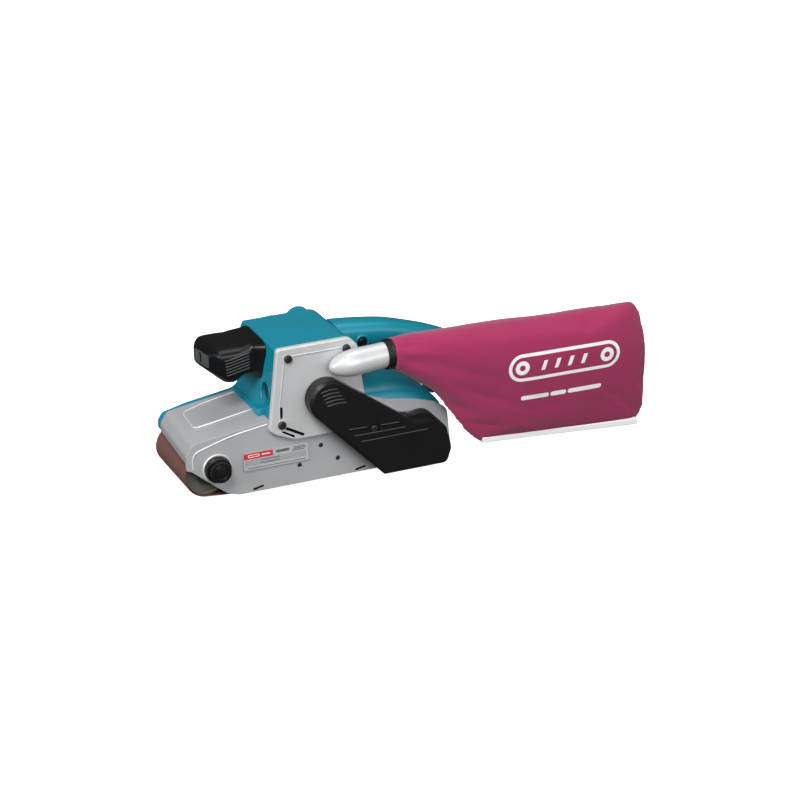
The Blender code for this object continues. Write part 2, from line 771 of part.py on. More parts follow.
def rear_handle(shop):
    left = handle_half(shop, "rear_handle_left", -HANDLE_HALF_WIDTH, -0.00015)
    right = handle_half(shop, "rear_handle_right", 0.00015, HANDLE_HALF_WIDTH)
    rooms = handle_cutters(shop)
    x, z = LOCK_AT
    lock_way = rod(shop, "lock_way", 0.0056, -0.030, -0.0085, "Y", (x, 0, z))
    cut(shop, left, *rooms, lock_way)
    cut(shop, right, *rooms)


def trigger(shop):
    corners = [
        (0.0875, 0.1292, 0.003),
        (0.1290, 0.1205, 0.003),
        (0.1310, 0.1045, 0.004),
        (0.1090, 0.1075, 0.030),
        (0.0875, 0.1165, 0.004),
    ]
    origin = (TRIGGER_PIVOT[0], 0, TRIGGER_PIVOT[1])
    piece = extruded(shop, "trigger", [rounded(corners)], -0.0070, 0.0070, "Y", "black_plastic", origin)
    body_empty(shop, "trigger_pivot", origin, piece)


def lock_button(shop):
    x, z = LOCK_AT
    profile = [(0, -0.0115), (0.0052, -0.0115), (0.0052, -0.0212), (0.0040, -0.0222), (0, -0.0222)]
    piece = turned(shop, "lock_button", profile, "Y", (x, 0, z), "black_plastic")
    body_empty(shop, "lock_button_axis", (x, 0, z), piece)


def switch_unit(shop):
    return box(shop, "switch_unit", (0.0870, -0.0086, 0.1316), (0.1150, 0.0086, 0.1423), "black_plastic")


def cord_gland(shop):
    """The rubber inlet at the handle's rear end, open right through."""
    profile = [(0.0036, 0.2220), (0.0050, 0.2220), (0.0059, 0.2130), (0.0059, 0.1985), (0.0036, 0.1985)]
    return turned(shop, "cord_gland", profile, "X", (0, 0, GLAND_Z), "black_rubber", closed=True)


GRIP_HALF_WIDTH = 0.0280
GRIP_FLANGE_LEFT_Y = -0.0440
GRIP_FLANGE_RIGHT_Y = 0.0330
GRIP_SCREW_Z = 0.1440
GRIP_SCREW_HEAD_X = -0.0885


def front_grip(shop):
    """The knob for the front hand, with the flange that it meets the motor housing on."""
    corners = [
        (-0.0387, 0.1575, 0.002),
        (-0.0650, 0.1540, 0.040),
        (-0.0920, 0.1495, 0.010),
        (-0.1020, 0.1440, 0.006),
        (-0.1010, 0.1330, 0.008),
        (-0.0870, 0.1160, 0.012),
        (-0.0760, 0.1160, 0.010),
        (-0.0660, 0.1225, 0.012),
        (-0.0540, 0.1220, 0.008),
        (-0.0438, 0.1110, 0.002),
    ]
    grip = extruded(
        shop, "front_grip", [rounded(corners, 3)], -GRIP_HALF_WIDTH, GRIP_HALF_WIDTH, "Y", "black_plastic"
    )
    flange_points = [(-0.0394, 0.1563), (-0.0442, 0.1557), (-0.0492, 0.1205), (-0.0437, 0.1160)]
    flange = extruded(shop, "grip_flange", [flange_points], GRIP_FLANGE_LEFT_Y, GRIP_FLANGE_RIGHT_Y)
    at = (0, 0, GRIP_SCREW_Z)
    head_end = GRIP_SCREW_HEAD_X + 0.0005
    head_way = rod(shop, "grip_head_way", 0.0044, -0.120, head_end, "X", at, steps=STEPS_SMALL)
    shank_way = rod(shop, "grip_shank_way", 0.0024, -0.120, -0.0300, "X", at, steps=STEPS_SMALL)
    join(shop, grip, flange)
    soften(grip, 0.0040, 2, 60)
    cut(shop, grip, head_way, shank_way)
    screw_piece(shop, "grip_screw", 0.0040, 0.0030, 0.0020, -0.0440, GRIP_SCREW_HEAD_X, "X", at)
    return grip


# ------------------------------------------------------------------ motor and drive

BRUSH_Y = 0.054
FAN_BLADES = 9


def fan_outline():
    """Straight paddles round a hub."""
    points = []
    half_paddle = math.radians(5)
    for blade in range(FAN_BLADES):
        middle = 2 * math.pi * blade / FAN_BLADES
        for radius, turn in ((0.013, -2.4), (0.0330, -1), (0.0330, 1), (0.013, 2.4)):
            angle = middle + turn * half_paddle
            points.append((MOTOR_X + radius * math.cos(angle), MOTOR_Z + radius * math.sin(angle)))
    return points


def motor(shop):
    at = (MOTOR_X, 0, MOTOR_Z)
    centre = (MOTOR_X, MOTOR_Z)
    bore = SHAFT_RADIUS + PIN_FIT
    core = ring(shop, "armature_core", bore, 0.0218, -0.024, 0.026, "Y", at, "dark_steel")
    shaft = rod(shop, "armature_shaft", SHAFT_RADIUS, -0.0812, 0.0970, "Y", at, "bare_steel")
    commutator = ring(shop, "commutator", bore, 0.0130, 0.046, 0.062, "Y", at, "copper")
    fan_loops = [fan_outline(), circle(centre, bore)]
    fan = extruded(shop, "cooling_fan", fan_loops, -0.046, -0.034, "Y", "black_plastic", at)
    pulley_loops = [toothed_outline(centre, MOTOR_PULLEY_TEETH), circle(centre, bore)]
    pulley = extruded(shop, "motor_pulley", pulley_loops, PULLEY_NEAR_Y, PULLEY_FAR_Y, "Y", "bare_steel", at)
    body_empty(shop, "armature_axis", at, core, shaft, commutator, fan, pulley)
    ring(shop, "stator", 0.0226, 0.0362, -0.026, 0.028, "Y", at, "dark_steel")
    ring(shop, "motor_bearing_left", bore, 0.0130, -0.0595, -0.0505, "Y", at, "bare_steel")
    ring(shop, "motor_bearing_right", bore, 0.0110, 0.0880, 0.0965, "Y", at, "bare_steel")
    for side, name in ((-1, "front"), (1, "rear")):
        near, far = sorted((MOTOR_X + side * 0.0134, MOTOR_X + side * 0.0290))
        low = (near, BRUSH_Y - 0.004, MOTOR_Z - 0.003)
        high = (far, BRUSH_Y + 0.004, MOTOR_Z + 0.003)
        box(shop, f"carbon_brush_{name}", low, high, "carbon")
        cap_low, cap_high = sorted((MOTOR_X + side * 0.0300, MOTOR_X + side * 0.0432))
        cap_at = (0, BRUSH_Y, MOTOR_Z)
        rod(shop, f"brush_cap_{name}", 0.0070, cap_low, cap_high, "X", cap_at, "black_plastic")


def drive_belt(shop):
    loops = []
    for extra in (0.0021, GAP):
        points = circle((MOTOR_X, MOTOR_Z), pulley_radius(MOTOR_PULLEY_TEETH) + extra, 36)
        points += circle((REAR_AXLE_X, AXLE_HEIGHT), pulley_radius(DRIVEN_PULLEY_TEETH) + extra, 48)
        loops.append(hull(points))
    return extruded(shop, "drive_belt", loops, PULLEY_NEAR_Y + 0.0003, PULLEY_FAR_Y, "Y", "black_rubber")


def drive_roller(shop):
    at = (REAR_AXLE_X, 0, AXLE_HEIGHT)
    centre = (REAR_AXLE_X, AXLE_HEIGHT)
    bore = DRIVE_SHAFT_RADIUS + PIN_FIT
    shaft = rod(shop, "drive_shaft", DRIVE_SHAFT_RADIUS, -0.0810, 0.0534, "Y", at, "bare_steel")
    width = ROLLER_HALF_WIDTH
    core = ring(shop, "drive_roller", bore, 0.0200, -width, width, "Y", at, "bare_steel")
    sleeve_inner = 0.0200 + PIN_FIT
    sleeve = ring(
        shop, "drive_roller_sleeve", sleeve_inner, REAR_ROLLER_RADIUS, -width, width, "Y", at, "black_rubber"
    )
    loops = [toothed_outline(centre, DRIVEN_PULLEY_TEETH), circle(centre, bore)]
    pulley = extruded(shop, "driven_pulley", loops, PULLEY_NEAR_Y, PULLEY_FAR_Y, "Y", "bare_steel", at)
    body_empty(shop, "drive_roller_axis", at, shaft, core, sleeve, pulley)
    ring(shop, "drive_bearing_left", bore, 0.0130, -0.0620, -0.0530, "Y", at, "bare_steel")
    ring(shop, "drive_bearing_right", bore, 0.0088, 0.0492, 0.0534, "Y", at, "bare_steel")


# ------------------------------------------------------ front roller and tensioning

STEERING_X = -0.080
BLOCK_REAR_X = -0.073
LEVER_X = -0.028
LEVER_Y = 0.040
CAM_START_RADIUS = 0.005
SLIDE_TRAVEL = 0.008
ARM_INNER_Y = 0.0492
ARM_OUTER_Y = 0.0542


def roller_yoke(shop):
    """Two arms for the front roller's axle, the bar between them and the lugs that it steers on."""
    origin = (STEERING_X, 0, AXLE_HEIGHT)
    arm_points = circle((FRONT_AXLE_X, AXLE_HEIGHT), 0.009) + rectangle((-0.091, 0.018), (-0.087, 0.036))
    arm_loops = [hull(arm_points), circle((FRONT_AXLE_X, AXLE_HEIGHT), SHAFT_RADIUS + PIN_FIT)]
    yoke = extruded(shop, "roller_yoke", arm_loops, ARM_INNER_Y, ARM_OUTER_Y, "Y", "dark_steel", origin)
    left = extruded(shop, "yoke_left_arm", arm_loops, -ARM_OUTER_Y, -ARM_INNER_Y)
    bar = box(shop, "yoke_bar", (-0.0915, -0.0530, 0.0170), (-0.0865, 0.0530, 0.0370))
    upper = box(shop, "yoke_upper_lug", (-0.0900, -0.0070, 0.0342), (-0.0740, 0.0070, 0.0365))
    lower = box(shop, "yoke_lower_lug", (-0.0900, -0.0070, 0.0175), (-0.0740, 0.0070, 0.0198))
    pin_way = rod(shop, "yoke_pin_way", 0.0034, 0.010, 0.045, "Z", (STEERING_X, 0, 0))
    join(shop, yoke, left, bar, upper, lower)
    cut(shop, yoke, pin_way)
    return yoke


def tension_slide(shop):
    """The block that carries the yoke, its round shank in the frame and the foot that the cam pushes."""
    low = (BLOCK_REAR_X - 0.0125, -0.0090, 0.0205)
    high = (BLOCK_REAR_X, 0.0090, 0.0335)
    slide = box(shop, "tension_slide", low, high, "dark_steel")
    shank = rod(shop, "slide_shank", 0.0060, -0.0760, -0.0170, "X", (0, 0, AXLE_HEIGHT))
    foot_front = LEVER_X + CAM_START_RADIUS + GAP
    foot = box(shop, "slide_foot", (foot_front, -0.0050, 0.0200), (foot_front + 0.0050, 0.0430, 0.0262))
    pin_way = rod(shop, "slide_pin_way", 0.0033, 0.010, 0.045, "Z", (STEERING_X, 0, 0))
    join(shop, slide, shank, foot)
    cut(shop, slide, pin_way)
    return slide


def front_roller(shop):
    at = (FRONT_AXLE_X, 0, AXLE_HEIGHT)
    bore = SHAFT_RADIUS + PIN_FIT
    tube = ring(shop, "front_roller", 0.0133, FRONT_ROLLER_RADIUS, -0.0485, 0.0485, "Y", at, "dark_steel")
    left = ring(shop, "idler_bearing_left", bore, 0.0130, -0.0480, -0.0380, "Y", at, "bare_steel")
    right = ring(shop, "idler_bearing_right", bore, 0.0130, 0.0380, 0.0480, "Y", at, "bare_steel")
    axle = rod(shop, "idler_axle", SHAFT_RADIUS, -ARM_OUTER_Y, ARM_OUTER_Y, "Y", at, "bare_steel")
    steering_at = (STEERING_X, 0, AXLE_HEIGHT)
    pin = rod(shop, "steering_pin", 0.0030, 0.0150, 0.0390, "Z", steering_at, "bare_steel", STEPS_SMALL)
    slide_empty = body_empty(shop, "tension_slide_axis", steering_at, tension_slide(shop), pin)
    yoke_empty = body_empty(shop, "yoke_axis", steering_at, roller_yoke(shop), axle)
    roller_empty = body_empty(shop, "front_roller_axis", at, tube, left, right)
    for child, parent in ((roller_empty, yoke_empty), (yoke_empty, slide_empty)):
        child.parent = parent
        child.matrix_parent_inverse = parent.matrix_world.inverted()


def tension_spring(shop):
    """A coil round the slide's shank, between the block and the frame."""
    turns = 3.75
    coil_radius = 0.0085
    wire_radius = 0.0009
    start = BLOCK_REAR_X + GAP + wire_radius
    end = BEAM_FRONT_X - GAP - wire_radius
    per_turn = 10
    count = int(turns * per_turn)
    curve = bpy.data.curves.new("tension_spring", "CURVE")
    curve.dimensions = "3D"
    curve.bevel_depth = wire_radius
    curve.bevel_resolution = 1
    curve.use_fill_caps = True
    spline = curve.splines.new("POLY")
    spline.points.add(count)
    for index, point in enumerate(spline.points):
        angle = 2 * math.pi * index / per_turn
        along = start + (end - start) * index / count
        point.co = (along, coil_radius * math.cos(angle), coil_radius * math.sin(angle), 1)
    obj = bpy.data.objects.new("tension_spring", curve)
    obj.location = (0, 0, AXLE_HEIGHT)
    shop.parts.objects.link(obj)
    bpy.context.view_layer.update()
    return settle(shop, obj, "bare_steel")


def cam_outline():
    """A cam whose reach towards the slide's foot grows evenly with the lever's turn."""
    growth = SLIDE_TRAVEL / (math.pi / 2)
    points = []
    steps = 12
    for step in range(steps + 1):
        turn = (math.pi / 2) * step / steps
        reach = CAM_START_RADIUS + growth * turn
        direction = Vector((math.cos(-turn), math.sin(-turn)))
        sideways = Vector((math.sin(-turn), -math.cos(-turn)))
        point = direction * reach + sideways * growth
        points.append((LEVER_X + point.x, LEVER_Y + point.y))
    points += arc((LEVER_X, LEVER_Y), CAM_START_RADIUS, 0, 180, 8)
    return hull(points)


def release_lever(shop):
    """The cam on the belt's tension slide, and the arm that lies along the tool's right side."""
    at = (LEVER_X, LEVER_Y, AXLE_HEIGHT)
    lever = extruded(shop, "release_lever", [cam_outline()], 0.0205, 0.0275, "Z", "dark_steel", at)
    arm_corners = [
        (LEVER_X - 0.006, LEVER_Y - 0.005, 0.004),
        (LEVER_X + 0.045, LEVER_Y - 0.002, 0.004),
        (LEVER_X + 0.062, LEVER_Y + 0.0060, 0),
        (LEVER_X + 0.062, LEVER_Y + 0.0110, 0),
        (LEVER_X + 0.042, LEVER_Y + 0.0055, 0.004),
        (LEVER_X - 0.006, LEVER_Y + 0.0055, 0.004),
    ]
    arm = extruded(shop, "lever_arm", [rounded(arm_corners)], 0.0270, 0.0330, "Z")
    pin_way = rod(shop, "lever_pin_way", 0.0033, 0.010, 0.045, "Z", (LEVER_X, LEVER_Y, 0), steps=STEPS_SMALL)
    join(shop, lever, arm)
    cut(shop, lever, pin_way)
    body_empty(shop, "release_lever_axis", at, lever)
    rod(shop, "lever_pin", 0.0030, 0.0133, 0.0377, "Z", (LEVER_X, LEVER_Y, 0), "bare_steel", STEPS_SMALL)


def tracking_knob(shop):
    """The knurled knob on the left wall and the screw behind it that steers the yoke."""
    x, z = TRACKING_AT
    at = (x, 0, z)
    ribs = 24
    points = []
    for rib in range(ribs):
        for share, radius in ((0.0, 0.0142), (0.5, 0.0136)):
            angle = 2 * math.pi * (rib + share) / ribs
            points.append((x + radius * math.cos(angle), z + radius * math.sin(angle)))
    knob = extruded(shop, "tracking_knob", [points], -0.0720, -0.0625, "Y", "black_plastic", at)
    cap = rod(shop, "knob_cap", 0.0095, -0.0745, -0.0700, "Y", at)
    bore = rod(shop, "knob_bore", 0.0033, -0.0700, -0.0600, "Y", at, steps=STEPS_SMALL)
    join(shop, knob, cap)
    cut(shop, knob, bore)
    screw = rod(shop, "tracking_screw", 0.0030, -0.0697, -0.0550, "Y", at, "bare_steel", STEPS_SMALL)
    body_empty(shop, "tracking_axis", at, knob, screw)


# ------------------------------------------------------------- belt, platen, bag


def sanding_belt(shop):
    inner_front = FRONT_ROLLER_RADIUS + FRONT_BELT_CLEARANCE
    inner_rear = REAR_ROLLER_RADIUS + GAP
    outer = belt_loop(inner_front + BELT_THICKNESS, inner_rear + BELT_THICKNESS, 0)
    inner = belt_loop(inner_front, inner_rear, BELT_THICKNESS)
    return extruded(shop, "sanding_belt", [outer, inner], -BELT_HALF_WIDTH, BELT_HALF_WIDTH, "Y", "abrasive")


def platen(shop):
    low = BELT_THICKNESS + GAP
    end = PLATEN_HALF_LENGTH - 0.001
    half = BELT_HALF_WIDTH - 0.003
    box(shop, "platen_pad", (-end, -half, low), (end, half, low + 0.0012), "carbon")
    plate_low = low + 0.0012 + GAP
    box(shop, "platen_plate", (-end, -half, plate_low), (end, half, 0.0052 - GAP), "bare_steel")


def bag_outline():
    """The bag laid flat: a neck, a long straight top, a square rear end and a slanted lower front edge."""
    corners = [
        (0.0900, 0.1520, 0.003),
        (0.1050, 0.1570, 0.010),
        (0.2000, 0.1560, 0.100),
        (0.3740, 0.1525, 0.008),
        (0.3860, 0.1300, 0.020),
        (0.3910, 0.0500, 0.060),
        (0.3890, 0.0230, 0.006),
        (0.3780, 0.0155, 0.003),
        (0.1890, 0.0268, 0.004),
        (0.1600, 0.0540, 0.010),
        (0.1400, 0.0860, 0.020),
        (0.0900, 0.1225, 0.003),
    ]
    return rounded(corners, 3)


def dust_bag(shop):
    axis_at = (OUTLET_END_X, OUTLET_Y, OUTLET_Z)
    bag = extruded(
        shop,
        "dust_bag",
        [bag_outline()],
        BAG_NEAR_Y,
        BAG_FAR_Y,
        "Y",
        "bag_cloth",
        axis_at,
    )
    soften(bag, 0.0090, 2, 60)
    profile = [(0.0128, 0.0897), (0.0152, 0.0897), (0.0163, 0.0880), (0.0163, 0.0820), (0.0155, 0.0803)]
    profile += [(0.0128, 0.0803)]
    collar = turned(shop, "bag_collar", profile, "X", axis_at, "black_rubber", closed=True)
    strip_points = [(0.1885, 0.0265), (0.1880, 0.0185), (0.3775, 0.0070), (0.3780, 0.0152)]
    strip = extruded(
        shop, "bag_strip", [strip_points], OUTLET_Y - 0.0045, OUTLET_Y + 0.0045, "Y", "white_plastic"
    )
    collar_empty = body_empty(shop, "bag_collar_axis", axis_at, collar)
    bag_empty = body_empty(shop, "dust_bag_axis", axis_at, bag)
    strip_empty = body_empty(shop, "bag_strip_axis", (0.1885, OUTLET_Y, 0.0225), strip)
    for child, parent in ((bag_empty, collar_empty), (strip_empty, bag_empty)):
        child.parent = parent
        child.matrix_parent_inverse = parent.matrix_world.inverted()


# ---------------------------------------------------------------- small fittings


def fasteners(shop):
    for index, (x, z) in enumerate(PLATE_SCREWS, 1):
        screw_piece(
            shop, f"plate_screw_{index}", 0.0044, 0.0028, 0.0021, -0.0570, PLATE_OUTER_Y - GAP, "Y", (x, 0, z)
        )
    for index, (x, z) in enumerate(WALL_SCREWS, 1):
        screw_piece(
            shop, f"wall_screw_{index}", 0.0030, 0.0012, 0.0016, -0.0490, WALL_OUTER_Y - GAP, "Y", (x, 0, z)
        )
    x, z = COVER_SCREW
    screw_piece(shop, "cover_screw", 0.0042, 0.0022, 0.0019, -0.0560, -0.0818, "Y", (x, 0, z))


def nameplate(shop):
    corners = [(x, z, 0.001) for x, z in rectangle((-0.0785, 0.0283), (-0.0055, 0.0480))]
    back = WALL_OUTER_Y - GAP
    return extruded(shop, "nameplate", [rounded(corners, 2)], back - FOIL_THICKNESS, back, "Y", "plate_foil")


def main():
    clear_scene()
    shop = Workshop()
    housing = motor_housing(shop)
    frame = main_frame(shop)
    for index, (x, z) in enumerate(PLATE_SCREWS):
        at = (x, 0, z)
        name = f"plate_screw_way_{index}"
        way = rod(shop, name, PLATE_SCREW_HOLE, -0.070, -0.0560, "Y", at, steps=STEPS_HOLE)
        cut(shop, housing, way)
        if z < FRAME_TOP_Z:
            cut(shop, frame, way)
    right_guard(shop)
    motor_end_cap(shop)
    side_plate(shop)
    belt_cover(shop)
    rear_housing(shop)
    rear_handle(shop)
    trigger(shop)
    lock_button(shop)
    switch_unit(shop)
    cord_gland(shop)
    front_grip(shop)
    motor(shop)
    drive_belt(shop)
    drive_roller(shop)
    front_roller(shop)
    tension_spring(shop)
    release_lever(shop)
    tracking_knob(shop)
    sanding_belt(shop)
    platen(shop)
    dust_bag(shop)
    fasteners(shop)
    nameplate(shop)


main()
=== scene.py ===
"""The looks of the handheld belt sander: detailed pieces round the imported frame, camera, light and floor.

Outlines are in millimetres, in the row's frame: +X to the rear, +Y to the tool's right, +Z up.
"""

import json
import math

import bmesh
import bpy
from mathutils import Matrix, Vector, noise
from mathutils.bvhtree import BVHTree


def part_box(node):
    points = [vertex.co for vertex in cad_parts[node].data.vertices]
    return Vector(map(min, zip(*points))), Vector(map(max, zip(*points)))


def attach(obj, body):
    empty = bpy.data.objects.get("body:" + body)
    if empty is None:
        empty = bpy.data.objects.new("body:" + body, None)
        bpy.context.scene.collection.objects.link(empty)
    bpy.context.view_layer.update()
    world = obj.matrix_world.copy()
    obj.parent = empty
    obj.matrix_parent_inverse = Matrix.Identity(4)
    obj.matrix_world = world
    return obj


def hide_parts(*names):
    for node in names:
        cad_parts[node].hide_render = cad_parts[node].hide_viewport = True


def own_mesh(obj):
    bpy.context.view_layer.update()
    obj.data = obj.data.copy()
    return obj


MM = 0.001

# Axes across the tool, as (x, z), and the outlet's, as (y, z).
AXLE_HEIGHT = 27
FRONT_AXLE = (-116.5, AXLE_HEIGHT)
REAR_AXLE = (116.5, AXLE_HEIGHT)
MOTOR = (14, 98)
KNOB = (-107.5, 37)
LOCK_BUTTON = (77.5, 133.2)
NECK = (-76, 137)
COVER_SCREW = (62.5, 58.5)
WALL_SCREWS = ((9.6, 41.2), (28.4, 23), (-15.4, 23.2))
PLATE_SCREWS = ((-24.9, 147), (40.7, 147.9), (-35.2, 74.5))
HANDLE_SCREWS = ((66, 141), (146, 122.5), (189, 80))

# Planes across the tool. The near ones are on its left side, which the photo shows.
WALL_NEAR = -60
ON_WALL = -60.3
PLATE_NEAR = -66
COVER_NEAR = -84
LOBE_NEAR = -72.5
KNOB_NEAR = -74.4
LABEL_NEAR = -61.85
FRAME_FAR = 44
HOUSING_FAR = 42
CAP_FAR = 50

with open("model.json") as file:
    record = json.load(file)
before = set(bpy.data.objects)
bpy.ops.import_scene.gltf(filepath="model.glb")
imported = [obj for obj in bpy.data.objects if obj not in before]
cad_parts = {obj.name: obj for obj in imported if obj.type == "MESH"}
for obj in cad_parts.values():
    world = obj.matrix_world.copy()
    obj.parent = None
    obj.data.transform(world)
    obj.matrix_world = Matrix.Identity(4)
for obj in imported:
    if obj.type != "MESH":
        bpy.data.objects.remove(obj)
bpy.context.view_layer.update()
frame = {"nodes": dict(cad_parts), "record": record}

# --- outlines


def polar(centre, radius, angle):
    return (centre[0] + radius * math.cos(angle), centre[1] + radius * math.sin(angle))


def turns(steps, start=0.0):
    """The cosine and sine of each step round a circle, the first one start steps on."""
    for step in range(steps):
        angle = 2 * math.pi * (step + start) / steps
        yield math.cos(angle), math.sin(angle)


def arc(centre, radius, start, end, steps):
    points = []
    for step in range(steps + 1):
        angle = math.radians(start + (end - start) * step / steps)
        points.append(polar(centre, radius, angle))
    return points


def circle(centre, radius, steps=64):
    return arc(centre, radius, 0, 360, steps)[:-1]


def rounded(corners, steps=6, closed=True):
    """Corners (u, v, radius) as points, each corner with a radius turned into an arc."""
    points = []
    count = len(corners)
    for index, (u, v, radius) in enumerate(corners):
        here = Vector((u, v))
        if radius == 0 or (not closed and index in (0, count - 1)):
            points.append((u, v))
            continue
        before = Vector(corners[index - 1][:2]) - here
        after = Vector(corners[(index + 1) % count][:2]) - here
        half_angle = before.angle(after) / 2
        reach = radius / math.tan(half_angle)
        start = here + before.normalized() * reach
        end = here + after.normalized() * reach
        bisector = (before.normalized() + after.normalized()).normalized()
        centre = here + bisector * (radius / math.sin(half_angle))
        first = math.atan2(start.y - centre.y, start.x - centre.x)
        sweep = math.atan2(end.y - centre.y, end.x - centre.x) - first
        sweep = (sweep + math.pi) % (2 * math.pi) - math.pi
        for step in range(steps + 1):
            angle = first + sweep * step / steps
            points.append(polar(centre, radius, angle))
    return points


def hull(points):
    ordered = sorted(set(points))

    def chain(run):
        kept = []
        for point in run:
            while len(kept) > 1 and (
                (kept[-1][0] - kept[-2][0]) * (point[1] - kept[-2][1])
                - (kept[-1][1] - kept[-2][1]) * (point[0] - kept[-2][0])
            ) <= 1e-9:
                kept.pop()
            kept.append(point)
        return kept[:-1]

    return chain(ordered) + chain(ordered[::-1])


def capsule(start, end, radius, steps=20):
    """The outline round two equal circles."""
    return hull(circle(start, radius, steps) + circle(end, radius, steps))


def offset(points, distance, closed=True):
    """The line moved sideways by distance, to the left of its direction."""
    moved = []
    count = len(points)
    for index, point in enumerate(points):
        here = Vector(point)
        before = Vector(points[index - 1]) if closed or index > 0 else None
        after = Vector(points[(index + 1) % count]) if closed or index < count - 1 else None
        sides = []
        if before is not None:
            sides.append((here - before).normalized())
        if after is not None:
            sides.append((after - here).normalized())
        normals = [Vector((-side.y, side.x)) for side in sides]
        mean = sum(normals, Vector((0, 0))).normalized()
        moved.append(tuple(here + mean * (distance / max(mean.dot(normals[0]), 0.3))))
    return moved


def smooth_line(points, per_span=8):
    """A smooth curve through the points, as many coordinates as they have."""
    ends = [points[0], *points, points[-1]]
    line = []
    for span in range(len(points) - 1):
        a, b, c, d = (Vector(point) for point in ends[span : span + 4])
        for step in range(per_span):
            t = step / per_span
            twice = 2 * b + (c - a) * t + (2 * a - 5 * b + 4 * c - d) * t * t + (3 * b - a - 3 * c + d) * t**3
            line.append(tuple(0.5 * twice))
    line.append(tuple(points[-1]))
    return line


def clamp(value):
    return max(0.0, min(1.0, value))


def bulged(value, power):
    """The power of a number between -1 and 1, with its sign."""
    return math.copysign(abs(value) ** power, value)


def at_place(line, x):
    """The height of a line of points at a place; its points run from high x to low x."""
    for (x0, v0), (x1, v1) in zip(line, line[1:]):
        if x1 <= x <= x0 and x0 > x1:
            return v0 + (v1 - v0) * (x0 - x) / (x0 - x1)
    return line[0][1] if x > line[0][0] else line[-1][1]


def along(table, x):
    """A value read off a table of (place, value) pairs, smoothly between them."""
    if x <= table[0][0]:
        return table[0][1]
    slopes = []
    for index in range(len(table)):
        before, after = table[max(0, index - 1)], table[min(len(table) - 1, index + 1)]
        slopes.append((after[1] - before[1]) / (after[0] - before[0]))
    for index, ((x0, v0), (x1, v1)) in enumerate(zip(table, table[1:])):
        if x <= x1:
            span = x1 - x0
            t = (x - x0) / span
            start = (2 * t**3 - 3 * t**2 + 1) * v0 + (t**3 - 2 * t**2 + t) * span * slopes[index]
            return start + (3 * t**2 - 2 * t**3) * v1 + (t**3 - t**2) * span * slopes[index + 1]
    return table[-1][1]


# --- shapes

TURNS = {
    "Y": Matrix(((1, 0, 0), (0, 0, -1), (0, 1, 0))),
    "X": Matrix(((0, 0, 1), (1, 0, 0), (0, 1, 0))),
    "Z": Matrix.Identity(3),
}


def add_object(name, data):
    made = bpy.data.objects.new(name, data)
    bpy.context.scene.collection.objects.link(made)
    return made


def to_object(name, shape):
    mesh = bpy.data.meshes.new(name)
    shape.to_mesh(mesh)
    shape.free()
    return add_object(name, mesh)


def drop(obj):
    bpy.data.objects.remove(obj, do_unlink=True)


def evaluated(obj):
    """The mesh that an object's curve or modifiers give."""
    bpy.context.view_layer.update()
    graph = bpy.context.evaluated_depsgraph_get()
    return bpy.data.meshes.new_from_object(obj.evaluated_get(graph))


def bake(obj):
    """Applies the object's modifiers."""
    mesh = evaluated(obj)
    obj.modifiers.clear()
    obj.data = mesh


def meshed(curve):
    """The mesh that a curve gives."""
    source = add_object(curve.name, curve)
    mesh = evaluated(source)
    drop(source)
    return mesh


def slab(name, loops, low, high, axis="Y"):
    """A flat outline in millimetres, extruded from low to high along the axis. Further loops are holes."""
    curve = bpy.data.curves.new(name, "CURVE")
    curve.dimensions = "2D"
    curve.fill_mode = "BOTH"
    curve.extrude = (high - low) / 2 * MM
    for loop in loops:
        spline = curve.splines.new("POLY")
        spline.points.add(len(loop) - 1)
        for point, (u, v) in zip(spline.points, loop):
            point.co = (u * MM, v * MM, 0, 1)
        spline.use_cyclic_u = True
    shape = bmesh.new()
    shape.from_mesh(meshed(curve))
    turn = TURNS[axis].to_4x4()
    middle = Vector((0, 0, 0))
    middle["XYZ".index(axis)] = (low + high) / 2 * MM
    bmesh.ops.transform(shape, matrix=Matrix.Translation(middle) @ turn, verts=shape.verts)
    bmesh.ops.remove_doubles(shape, verts=shape.verts, dist=1e-6)
    bmesh.ops.dissolve_limit(shape, angle_limit=math.radians(0.3), verts=shape.verts, edges=shape.edges)
    bmesh.ops.recalc_face_normals(shape, faces=shape.faces)
    return to_object(name, shape)


def revolve(name, profile, at, steps=64, closed=False, axis="Y"):
    """A turned shape. The profile is (radius, place along the axis), and the axis passes through at."""
    shape = bmesh.new()
    rings = []
    side = "XYZ".index(axis)
    others = [i for i in range(3) if i != side]
    for radius, place in profile:
        count = 1 if radius == 0 else steps
        row = []
        for step in range(count):
            angle = 2 * math.pi * step / steps
            point = [0, 0, 0]
            point[side] = place * MM
            point[others[0]] = (at[0] + radius * math.cos(angle)) * MM
            point[others[1]] = (at[1] + radius * math.sin(angle)) * MM
            row.append(shape.verts.new(point))
        rings.append(row)
    pairs = list(zip(rings, rings[1:]))
    if closed:
        pairs.append((rings[-1], rings[0]))
    for first, second in pairs:
        for step in range(steps):
            corners = [
                first[step % len(first)],
                first[(step + 1) % len(first)],
                second[(step + 1) % len(second)],
                second[step % len(second)],
            ]
            corners = list(dict.fromkeys(corners))
            if len(corners) > 2:
                shape.faces.new(corners)
    bmesh.ops.recalc_face_normals(shape, faces=shape.faces)
    return to_object(name, shape)


def rod(name, radius, low, high, at, steps=48, edge=0.0, axis="Y"):
    """A cylinder, its ends' edges chamfered by edge."""
    if edge:
        inside = radius - edge * 0.3
        profile = [(0, high), (radius - edge, high), (inside, high - edge * 0.3), (radius, high - edge)]
        profile += [(radius, low + edge), (inside, low + edge * 0.3), (radius - edge, low), (0, low)]
    else:
        profile = [(0, high), (radius, high), (radius, low), (0, low)]
    return revolve(name, profile, at, steps, axis=axis)


